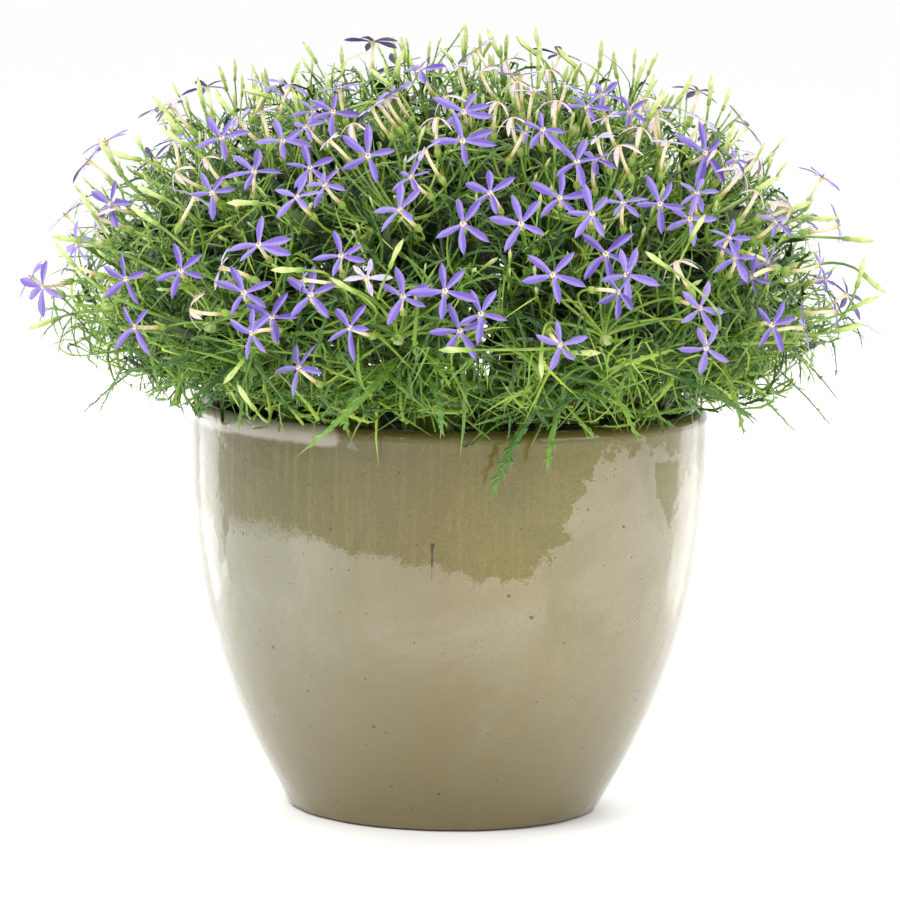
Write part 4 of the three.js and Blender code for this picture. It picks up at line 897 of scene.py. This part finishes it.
# Blooms on the far side and at the sides, by the golden angle: number and spray
FAR_BLOOMS = (
    (1, 3), (3, 2), (6, 2), (8, 1), (9, 11), (11, 9), (14, 10), (16, 8), (17, 12), (19, 9), (21, 7), (22, 11),
    (24, 19), (27, 10), (29, 18), (30, 22), (32, 19), (35, 21), (37, 18), (38, 23), (40, 20), (42, 17), (43, 22),
)
FAR_TOTAL = 44
# How much of the ball the places take up from the top down, where 2 is all of it
FAR_SPAN, TWIG_SPAN = 1.12, 1.8
THROAT_SHARE = 0.97
FADED, WITHERED_COLOUR = 3, 4
GOLDEN_DEGREES = 137.508

run = run_of_chance(20, 1000)
blooms = []
for x, y, tip_x, tip_y, tube_angle, tilt, radius, spray, slide, colour, *more in BLOOMS:
    throat = on_mound(x, y, THROAT_SHARE)
    to_eye = unit(EYE - throat)
    facing = unit(to_eye * math.cos(math.radians(tilt)) - picture_way(tube_angle) * math.sin(math.radians(tilt)))
    petal = picture_way(math.degrees(math.atan2(y - tip_y, tip_x - x)))
    petal = petal - to_eye * (petal @ facing) / max(to_eye @ facing, 0.15)
    petal = unit(petal - facing * (petal @ facing))
    radius = radius * np.linalg.norm(EYE - throat) / FOCAL_PIXELS
    tips = [(a - x, y - b) for a, b in zip([tip_x, *more[::2]], [tip_y, *more[1::2]])] if more else []
    blooms.append([throat - to_eye * slide, facing, petal, radius, spray, colour, tips])
for number, spray in FAR_BLOOMS:
    polar = math.acos(1 - FAR_SPAN * (number + 0.5) / FAR_TOTAL)
    throat = mound_point(polar, math.radians(number * GOLDEN_DEGREES), THROAT_SHARE)
    draws = run[4 * number:4 * number + 4]
    facing = mound_outward(throat) + UP * (0.3 + 0.5 * draws[0])
    facing = unit(facing + np.array([draws[1] - 0.5, draws[2] - 0.5, 0]) * 0.7)
    petal = unit(np.cross(facing, [1, 0.3, 0]))
    colour = FADED if number % 5 == 0 else number % 3 // 2 * 2
    blooms.append([throat, facing, petal, 15.5 + 3 * draws[3], spray, colour, []])
throats, facings, radii = (np.array([bloom[k] for bloom in blooms]) for k in (0, 1, 3))
eye_ways = unit(EYE - throats)


STAR_DEPTH, SIGHT_DEPTH = 26, 60


def hides_star(points, tight=0.85):
    """True where a point stands in front of a star, seen from where the star looks or from the eye."""
    v = np.atleast_2d(points)[:, None, :] - throats
    hidden = np.zeros(v.shape[:2], bool)
    for ways, depth in ((facings, STAR_DEPTH), (eye_ways, SIGHT_DEPTH)):
        h = (v * ways).sum(axis=2)
        off = np.linalg.norm(v - h[..., None] * ways, axis=2)
        hidden |= (h > 0) & (h < depth) & (off < radii * tight)
    return hidden.any(axis=1)


def in_pot(points, room=2.0):
    """True where a point lies in the pot's wall, in its lip or in the compost."""
    points = np.atleast_2d(points)
    out = np.hypot(points[:, 0], points[:, 1])
    outside = outer_radius(points[:, 2])
    low = points[:, 2] < POT_HEIGHT + room
    wall = (out > outside - WALL - room) & (out < outside + room)
    return low & (wall | ((out <= outside - WALL - room) & (points[:, 2] < COMPOST_TOP + room)))


BOX_ROOM = 6
BOX_LOW, BOX_HIGH = np.array(cad_box[0]) / MM - BOX_ROOM, np.array(cad_box[1]) / MM + BOX_ROOM


def leaves_box(points):
    """True where a point lies outside the room that the solids take up."""
    points = np.atleast_2d(points)
    return ((points < BOX_LOW) | (points > BOX_HIGH)).any(axis=1)


# Side stems: their ends are spread evenly over the dome and the skirt below it, and each forks off the shoot
# whose tip is nearest. Each carries leaves along it and at its tip, broad ones deep inside, which keep the light from
# coming through and are coloured nearly black as painted shade, and buds where it ends high enough.
TWIGS, RIM_TWIGS = 430, 85
TWIG_TURN = 2.39996
LEAVES_ALONG, LEAVES_AT_TIP = 13, 4
PLAIN_CHANCE = 0.36
DEEP_PLACES, DEEP = (0.1, 0.25, 0.4, 0.55, 0.7), 0.86
BUDS_FROM, MANY_BUDS_FROM = 300, 375
LEAF_TURN = math.radians(GOLDEN_DEGREES)
dice = np.random.default_rng(7)
for shoot in shoots:
    shoot["twigs"], shoot["points"], shoot["lines"] = [], [], []
tips = np.array([s["line"][2] for s in shoots])
ends = [(math.acos(1 - TWIG_SPAN * (n + 0.5) / TWIGS), n * TWIG_TURN, dice.uniform(0.66, 0.82))
        for n in range(TWIGS)]
ends += [(math.radians(dice.uniform(128, 146)), n * TWIG_TURN, dice.uniform(0.8, 0.95)) for n in range(RIM_TWIGS)]
for polar, azimuth, share in ends:
    end = mound_point(polar, azimuth, share + 0.12 * (polar > 1.7)) + dice.normal(0, 4, 3)
    shoot = shoots[int(np.argmin(np.linalg.norm(tips - end, axis=1)))]
    fork = dice.uniform(0.25, 0.55)
    root = arc(*shoot["line"], fork)
    bend = root + (end - root) * 0.5 + mound_outward(end) * 6 + arc_way(*shoot["line"], fork) * 12
    if in_pot(arc(root, bend, end, np.linspace(0.15, 1, 8)), 1).any():
        bend, end = bend + UP * 14, end + UP * 8
    shoot["twigs"].append((root, bend, end))


def leaf_tone_and_shade(point, lift):
    """Darker the deeper the leaf sits in the mound, as painted shade, mid green on the flanks and yellow-green at the
    outside, with tone that differs at random.
    """
    tone = 0.38 + 0.8 * (float(reach(point)) - 0.72) + lift
    return float(np.clip(tone + dice.normal(0, 0.16) + 0.3 * (dice.uniform() < 0.1), 0, 1))


def stand_leaf(shoot, root, way, upward, length, shape, tone):
    """Adds a leaf if its middle and tip are clear of the pot, the stars and the box."""
    spots = np.array([root + way * length * s + UP * length * h
                      for s, h in ((0.35, 0.1), (0.7, 0.02), (1.0, -0.14))])
    far = reach(spots[2]) > (0.9 if spots[2][2] > 290 else 1.04) + abs(dice.normal(0, 0.035))
    if far or in_pot(spots).any() or leaves_box(spots).any():
        return
    if hides_star(spots[1:]).any() and dice.uniform() < 0.9:
        return
    shoot["points"].append((root, basis_turn(way, upward), length, shape, tone))


def bud_turn(way):
    """Turning angles that lay a bud along the way."""
    return basis_turn(way, unit(np.cross(way, [1, 0.2, 0.1])))


def stand_bud(shoot, base, size, stalk):
    """A bud on a short stalk of its own."""
    way = unit(mound_outward(base) + UP * 0.7 + dice.normal(0, 0.42, 3))
    top = base + way * stalk
    if hides_star(top + way * size, 1.0).any() or leaves_box(top + way * size).any() or reach(top) > 0.97:
        return
    middle = (base + top) / 2 + dice.normal(0, 1.5, 3)
    shoot["lines"].append((arc(base, middle, top + way, np.linspace(0, 1, 5)), np.linspace(0.62, 0.45, 5)))
    shoot["points"].append((top, bud_turn(way), size, dice.choice(BUD), dice.uniform(0.3, 1.0)))


for shoot in shoots:
    below = shoot["line"][0] - UP * 25
    shares = np.linspace(0, 0.9, 12)
    widths = [STEM_RADIUS] * 3 + list(np.linspace(2.4, 1.0, 10))
    shoot["lines"].append((np.vstack([below, arc(*shoot["line"], shares)]), widths))
    for twig in shoot["twigs"]:
        shoot["lines"].append((arc(*twig, np.linspace(0, 1, 7)), np.linspace(1.2, 0.5, 7)))
        spin = dice.uniform(0, 6.3)
        for share in [*np.linspace(0.2, 0.97, LEAVES_ALONG), *[1.0] * LEAVES_AT_TIP]:
            root = arc(*twig, share)
            ahead = arc_way(*twig, share)
            side = unit(np.cross(ahead, UP + 0.01))
            third = np.cross(side, ahead)
            spin += LEAF_TURN
            outward = side * math.cos(spin) + third * math.sin(spin)
            lean = math.radians(dice.uniform(30, 70) if share < 0.99 else dice.uniform(8, 40))
            way = unit(ahead * math.cos(lean) + outward * math.sin(lean) + UP * 0.15)
            upward = unit(ahead * 0.7 + UP * 0.5 - outward * 0.35 + dice.normal(0, 0.25, 3))
            plain = dice.uniform() < PLAIN_CHANCE
            length = dice.uniform(36, 62) * (1 - 0.25 * share) if share < 0.99 else dice.uniform(24, 38)
            shape = dice.choice(PLAIN) if plain else dice.choice(CUT)
            stand_leaf(shoot, root, way, upward, length, shape, leaf_tone_and_shade(root + way * length * 0.5, 0.16 * plain))
        # Broad inner leaves, their tone near the dark end of the ramp: painted shade.
        for share in DEEP_PLACES:
            root = arc(*twig, share)
            way = unit(mound_outward(root) + dice.normal(0, 0.6, 3))
            length = dice.uniform(36, 52)
            if reach(root + way * length) < DEEP:
                stand_leaf(shoot, root, way, unit(np.cross(way, dice.normal(0, 1, 3))), length, BROAD,
                           dice.uniform(0, 0.12))
        if twig[2][2] > BUDS_FROM:
            high = twig[2][2] > MANY_BUDS_FROM
            for _ in range(3 if high else 2):
                stand_bud(shoot, twig[2] - UP * 3, dice.uniform(6, 17 if high else 12), dice.uniform(10, 34))

# Buds from the picture, on stalks from the shoot that carries them
for x, y, angle, number, slide in BUDS:
    shoot = shoots[number]
    tip = on_mound(x, y, 1.03)
    tip = tip + unit(tip - EYE) * slide
    base = tip + picture_way(angle) * BUD_LENGTH
    root = arc(*shoot["line"], 0.66)
    way = unit(tip - base)
    length = np.linalg.norm(base - root)
    line = arc(root, base - way * 0.35 * length, base + way, np.linspace(0, 1, 12))
    shoot["lines"].append((line, np.linspace(1.1, 0.7, 12)))
    shoot["points"].append((base, bud_turn(way), BUD_LENGTH * 1.05, dice.choice(BUD), dice.uniform(0.3, 1.0)))


def long_leaf(shoot, root, bend, tip, upward):
    """A long leaf bent along its own arc. It is stood as a shape of its own, because none of them is repeated."""
    points, faces, along = cut_leaf(root, bend, tip, upward, 15, dice, 0.8)
    shoot["long"].append((points, faces, along, dice.uniform(0.2, 0.75)))


for shoot, places in zip(shoots, LONG_LEAVES):
    shoot["long"] = []
    for place in places:
        draws = run[place:place + 6]
        share = 0.56 + 0.2 * draws[0]
        turn = draws[1] * 2 * math.pi
        lean = math.radians(18 + 50 * draws[2])
        ahead = arc_way(*shoot["line"], share)
        third = np.cross(ahead, shoot["aside"])
        outward = shoot["aside"] * math.cos(turn) + third * math.sin(turn)
        root = arc(*shoot["line"], share) + outward * 8
        way = ahead * math.cos(lean) + outward * math.sin(lean)
        length = LEAF_LENGTH * (0.8 + 0.35 * draws[3])
        upward = unit(ahead + UP * 0.8 - outward * 0.5 + shoot["aside"] * (draws[4] - 0.5))
        long_leaf(shoot, root, root + way * 0.5 * length + UP * 0.06 * length,
                  root + way * length - UP * 0.14 * length, upward)
for x, y, tip_x, tip_y, number in RIM_LEAVES:
    leaf_foot = on_mound(x, y, 0.98)
    tip = EYE + sight_line(tip_x, tip_y) * (np.linalg.norm(leaf_foot - EYE) - 4)
    shoot = shoots[number] if number >= 0 else shoots[int(np.argmin(
        [np.linalg.norm(arc(*s["line"], 0.7) - leaf_foot) for s in shoots]))]
    upward = unit(UP + unit([leaf_foot[0], leaf_foot[1], 0]) * 0.8)
    long_leaf(shoot, arc(*shoot["line"], 0.68), leaf_foot, tip, upward)

# Leaf: a thin soft blade with a matt skin. The tone goes from the dark inner leaves, darkened as painted shade, over
# mid green to the yellow-green ones at the outside; the root and the tips are lighter, and mottling of 5 mm breaks up
# the green. The grain of its skin is drawn 1 mm wide, coarser than it is, so that it shows.
leaf_green, tree, place, tone, along = new_material("soft_cut_leaf", "tone", "along")
mottle = add(tree, "ShaderNodeTexNoise", Vector=place, Scale=190.0, Detail=3.0)
shade = add(tree, "ShaderNodeMath", (mottle, 0.3, tone), operation="MULTIPLY_ADD")
shade = add(tree, "ShaderNodeMath", (shade, 0.15), operation="SUBTRACT")
colour = colour_steps(tree, shade, (0.0, "#0c1a06"), (0.2, "#1e3c10"), (0.38, "#345b1f"), (0.55, "#527b28"),
                      (0.75, "#80a02f"), (1.0, "#b0c44a"))
colour = stained(tree, colour, ("#86a84c", along, 0.55, 1.1, 0.35), ("#93b04e", along, 0.3, 0.0, 0.45))
skin = add(tree, "ShaderNodeTexNoise", Vector=place, Scale=900.0, Detail=2.0)
finish_surface(tree, colour, (skin, 0.3, 0.0003), Roughness=0.4)

# Stem: smooth and juicy, pale yellow-green, in patches as long as a thumbnail
stem_green, tree, place = new_material("juicy_stem")
grain = add(tree, "ShaderNodeTexNoise", Vector=place, Scale=60.0, Detail=3.0)
colour = colour_steps(tree, grain, (0.3, "#4f7424"), (0.5, "#7b9c36"), (0.72, "#a9bd58"))
finish_surface(tree, colour, Roughness=0.42)

# Bud: pale, ribbed and slightly waxy, greener at the calyx, with mottling of 4 mm
bud_green, tree, place, along = new_material("waxy_bud", "along")
grain = add(tree, "ShaderNodeTexNoise", Vector=place, Scale=240.0, Detail=2.0)
colour = colour_steps(tree, along, (0.0, "#6f9136"), (0.2, "#8aa844"), (0.3, "#b4c56e"), (0.8, "#cdd596"),
                      (1.0, "#a9b95e"))
finish_surface(tree, stained(tree, colour, ("#8ea846", grain, 0.5, 0.8)), Roughness=0.45)

for number, shoot in enumerate(shoots):
    own = bpy.data.collections.new(f"own_{number}")
    for shape in growths.objects:
        own.objects.link(shape)
    for k, (points, faces, along, tone) in enumerate(shoot["long"]):
        shape_object(own, f"long_{number:02d}_{k}", points * MM, faces, along, 0)
        shoot["points"].append((ORIGIN, ORIGIN, 1 / MM, BROAD + 1 + k, tone))
    name = f"shoot_{number + 1:02d}"
    piece = grow("leaves_of_" + name, shoot["points"], shoot["lines"], own, leaf_green, stem_green, bud_green,
                 bud_green)
    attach(piece, "root")
    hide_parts(name)


# Blooms: five pointed petals, creased along the middle, that spread from the mouth of a long thin cream tube.
# The tube sits in a small ribbed green calyx on a thread-thin stalk, and the stalks of a spray start together
# at the end of a shoot. Older stars fade to grey-lilac, and a few have withered.
TUBE_LENGTH = 22
PETAL_ROWS = ((0.0, 0.045), (0.13, 0.052), (0.31, 0.09), (0.52, 0.122), (0.72, 0.118), (0.88, 0.066))
PETAL_COLUMNS = (-1.0, -0.5, 0.0, 0.5, 1.0)


def petal_shape(fall, twist, sway, lift):
    """One petal, from the throat outward along Y, one unit long; its underside has a middle row of its own."""
    points, faces, along, across = [], [], [], []
    for out, half in PETAL_ROWS:
        for column in PETAL_COLUMNS + (None,):
            side = half * (column or 0)
            crease = -0.05 * half - 0.02 if column is None else 0.2 * half * (abs(column) ** 1.2 - 0.4)
            bowl = lift * out - fall * out ** 2 + side * twist * out
            points.append((side + sway * out ** 2, out, crease + bowl))
            along.append(out)
            across.append(column or 0.0)
    points.append((sway, 1.0, lift - fall))
    along.append(1.0)
    across.append(0.0)
    for row in range(len(PETAL_ROWS) - 1):
        a, b = row * 6, (row + 1) * 6
        faces += [(a + k, a + k + 1, b + k + 1, b + k) for k in range(4)]
        faces += [(a, b, b + 5, a + 5), (a + 5, b + 5, b + 4, a + 4)]
    a, top = (len(PETAL_ROWS) - 1) * 6, len(points) - 1
    faces += [(a + k, a + k + 1, top) for k in range(4)] + [(a, top, a + 5), (a + 5, top, a + 4)]
    faces += [(0, 5, 2, 1), (2, 5, 4, 3)]
    return points, faces, along, across


def eye_shape():
    """The mouth of the tube with its pale star-shaped rim, and the small bent anther column, along Z."""
    points = [(0.066 * (1 + 0.6 * (k % 2)) * math.cos(k * math.pi / 5),
               0.066 * (1 + 0.6 * (k % 2)) * math.sin(k * math.pi / 5), 0.03) for k in range(10)]
    points += [(0, 0, -0.01), (0, 0, -0.07)]
    along = [1.0] * 10 + [0.2, 0.6]
    faces = [(k, (k + 1) % 10, 10) for k in range(10)] + [((k + 1) % 10, k, 11) for k in range(10)]
    column, sides = sliver([(0, 0, -0.02), (0.01, 0.0, 0.07)], [0.022, 0.032], np.array([1.0, 0, 0]),
                           (0.055, 0.0, 0.15), len(points))
    return points + [tuple(p) for p in column], faces + sides, along + [0.5] * 3 + [0.02] * 4


# The shapes of the sprays: nine petals, two withered ones, the eye, three tubes and the knot of a spray
star_dice = np.random.default_rng(31)
flowers = bpy.data.collections.new("flowers")
OPEN, WITHERED, EYE_SHAPE, TUBES, KNOT = range(0, 9), range(9, 11), 11, range(12, 15), 15
for k in [*OPEN, *WITHERED]:
    fall = star_dice.uniform(0.0, 0.30) if k in OPEN else 0.8
    points, faces, along, across = petal_shape(fall, star_dice.uniform(-0.6, 0.6), star_dice.uniform(-0.16, 0.16),
                                               star_dice.uniform(0.04, 0.22))
    shape_object(flowers, f"flower_{k:02d}", points, faces, along, 0, across)
shape_object(flowers, f"flower_{EYE_SHAPE}", *eye_shape(), 3)


def tube_and_calyx(bow):
    """Along Y from the foot of the calyx to the throat, in millimetres: calyx, five sepals and tube."""
    levels = [(3.0, 1.2), (5.5, 1.15), (10, 1.05), (15, 1.0), (19.5, 1.1), (21.2, 1.5), (22.0, 1.9)]
    points, faces, along = ringed(levels, 8, 0.03, bow)
    part = [3] * len(faces)
    cup, sides, share = ringed([(-0.8, 0.6), (0.4, 1.5), (2.2, 2.0), (4.0, 1.9), (4.9, 1.35)], 10, 0.08)
    faces += [tuple(len(points) + c for c in side) for side in sides]
    points += cup
    along += [0.25 * s for s in share]
    for k in range(5):
        angle = 2 * math.pi * k / 5
        out = np.array([math.cos(angle), 0, math.sin(angle)])
        sepal, sides = sliver([out * 1.5 + Y * 4.2, out * 2.1 + Y * 6.5], [0.5, 0.35], out, out * 3.0 + Y * 9,
                              len(points))
        points += [tuple(p) for p in sepal]
        faces += sides
        along += [0.15] * len(sepal)
    return points, faces, along, part + [2] * (len(faces) - len(part))


for k in TUBES:
    shape_object(flowers, f"flower_{k:02d}", *tube_and_calyx(star_dice.uniform(-1.0, 1.0, 2)))
shape_object(flowers, f"flower_{KNOT}", *ringed([(-4.5, 2.6), (-1.5, 3.4), (1.5, 2.9), (5, 1.4)], 8, 0.06), 2)

# Petal: a thin matt skin, violet-blue and paler at its foot, mottled more coarsely than it is, at 2 mm, so that it
# shows. One half beside the crease is painted lighter as a painted highlight, and five fine darker veins run out
# along it.
petal_violet, tree, place, tone, along, side = new_material("violet_petal", "tone", "along", "side")
colour = colour_steps(tree, tone, (0.0, "#573f98"), (0.25, "#7561b0"), (0.5, "#9a8cca"), (0.75, "#cbc0de"),
                      (1.0, "#dccbaa"))
VEIN_TURNS = 7.85
veins = add(tree, "ShaderNodeMath", (side, VEIN_TURNS), operation="MULTIPLY")
veins = add(tree, "ShaderNodeMath", (veins,), operation="SINE")
veins = add(tree, "ShaderNodeMath", (veins,), operation="ABSOLUTE")
veins = where(tree, (veins, 0.45, 0.05), (along, 1.0, 0.6))
mottle = add(tree, "ShaderNodeTexNoise", Vector=place, Scale=420.0, Detail=3.0)
# The first stain is the painted highlight on one half beside the crease.
colour = stained(tree, colour, ("#b3a4e0", side, -0.1, 0.25, 0.4), ("#54389a", veins, 0.0, 1.0, 0.55),
                 ("#644ba6", mottle, 0.48, 0.7, 0.3), ("#b5a8e6", along, 0.3, 0.05, 0.35))
finish_surface(tree, colour, (mottle, 0.3, 0.0003), Roughness=0.55, Specular_IOR_Level=0.3, Sheen_Weight=0.15)

# Tube and eye: waxy cream, pinkish buff in patches of 3 mm, with a dark mouth
cream_tube, tree, place, along = new_material("cream_tube", "along")
mottle = add(tree, "ShaderNodeTexNoise", Vector=place, Scale=300.0, Detail=2.0)
colour = colour_steps(tree, along, (0.0, "#4d3b4a"), (0.12, "#b9a35c"), (0.4, "#e3d6a6"), (0.7, "#f0e6cc"),
                      (1.0, "#e9d98f"))
finish_surface(tree, stained(tree, colour, ("#d6bd98", mottle, 0.5, 0.8)), Roughness=0.5)


def petals_of(throat, facing, petal, radius, tips):
    """The way and the length of each petal: as the picture shows them, or else evenly, with chance."""
    across = np.cross(facing, petal)
    known = []
    to_eye = unit(EYE - throat)
    for right, up in tips:
        way = (PICTURE_RIGHT * right + PICTURE_UP * up) * np.linalg.norm(EYE - throat) / FOCAL_PIXELS
        way = way - to_eye * (way @ facing) / max(to_eye @ facing, 0.3)
        known.append((math.atan2(way @ across, way @ petal),
                      float(np.clip(np.linalg.norm(way), radius * 0.8, radius * 1.15))))
    if not known:
        return [(math.radians(a + star_dice.uniform(-8, 8)), radius * star_dice.uniform(0.9, 1.06))
                for a in (0, 72, 146, 217, 288)]
    while len(known) < 5:
        known.sort()
        turns = [a for a, _ in known]
        gaps = [((turns[(k + 1) % len(turns)] - a) % (2 * math.pi) or 2 * math.pi, a) for k, a in enumerate(turns)]
        gap, a = max(gaps)
        known.append((math.remainder(a + gap / (5 - len(known) + 1 if gap > 3 else 2), 2 * math.pi), radius))
    return known


# Spent blooms along the top, whose petals have shrunk: x and y of the throat in pixels and the way the tube runs
# back, in degrees
SPENT = (
    (372, 108, -50), (386, 98, -60), (437, 118, -95), (446, 97, -60), (505, 62, -60), (516, 82, -80),
    (497, 102, -100), (533, 92, -95), (556, 101, -90), (548, 70, -80), (606, 118, -75), (619, 146, -70),
    (641, 128, -95), (655, 118, -80), (668, 142, -95), (642, 99, -70), (566, 86, -100), (480, 72, -70),
    (459, 66, -60), (597, 138, -80), (702, 120, -110), (716, 150, -110), (741, 172, -120), (757, 192, -130),
    (329, 140, -50), (352, 124, -70), (262, 112, -80), (238, 118, -60), (425, 150, -70), (512, 118, -85),
    (205, 158, -50), (176, 172, -40), (303, 280, -15), (790, 208, -150), (676, 262, -60), (96, 218, -20),
)

TONES = (0.2, 0.03, 0.42, 0.68, 0.97)
sprays = [{"points": [], "lines": []} for _ in shoots]
beads = np.array([shoot["bead"] for shoot in shoots])
for x, y, tube_angle in SPENT:
    throat = on_mound(x, y, 0.98)
    facing = unit(unit(EYE - throat) * 0.25 - picture_way(tube_angle + star_dice.uniform(-12, 12)))
    petal = unit(np.cross(facing, [1, 0.3, 0.2]))
    near = int(np.argmin(np.linalg.norm(beads - throat + facing * TUBE_LENGTH, axis=1)))
    radius = star_dice.uniform(8, 13)
    colour = FADED if star_dice.uniform() < 0.4 else WITHERED_COLOUR
    blooms.append([throat, facing, petal, radius, near, colour, []])
for throat, facing, petal, radius, spray, colour, tips in blooms:
    tube_end = throat - facing * TUBE_LENGTH
    across = np.cross(facing, petal)
    tone = float(np.clip(TONES[colour] + star_dice.normal(0, 0.06), 0, 1))
    points = sprays[spray]["points"]
    for angle, length in petals_of(throat, facing, petal, radius, tips):
        way = petal * math.cos(angle) + across * math.sin(angle)
        shape = star_dice.choice(WITHERED if colour == WITHERED_COLOUR else OPEN)
        points.append((throat, basis_turn(way, facing), length, shape,
                       float(np.clip(tone + star_dice.normal(0, 0.03), 0, 1))))
    points.append((throat, basis_turn(across, facing), radius, EYE_SHAPE, tone))
    points.append((tube_end, basis_turn(facing, petal), 1.0, star_dice.choice(TUBES), tone))
    bead, ahead = shoots[spray]["bead"], shoots[spray]["along"]
    far = np.linalg.norm(tube_end - bead)
    share = np.linspace(0, 1, 12)[:, None]
    one = bead + ahead * far * 0.1 - mound_outward(bead) * far * 0.3
    two = tube_end - facing * far * 0.3 - mound_outward(tube_end) * far * 0.3
    path = (bead * (1 - share) ** 3 + one * 3 * share * (1 - share) ** 2 + two * 3 * share ** 2 * (1 - share)
            + tube_end * share ** 3)
    sprays[spray]["lines"].append((path, np.linspace(1.0, 0.65, 12)))

for number, (spray, shoot) in enumerate(zip(sprays, shoots)):
    spray["points"].append((shoot["bead"], basis_turn(shoot["along"], shoot["aside"]), 1.0, KNOT, 0.5))
    name = f"blooms_{number + 1:02d}"
    piece = grow("stars_of_" + name, spray["points"], spray["lines"], flowers, petal_violet, stem_green, bud_green,
                 cream_tube)
    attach(piece, "root")
    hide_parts(name)
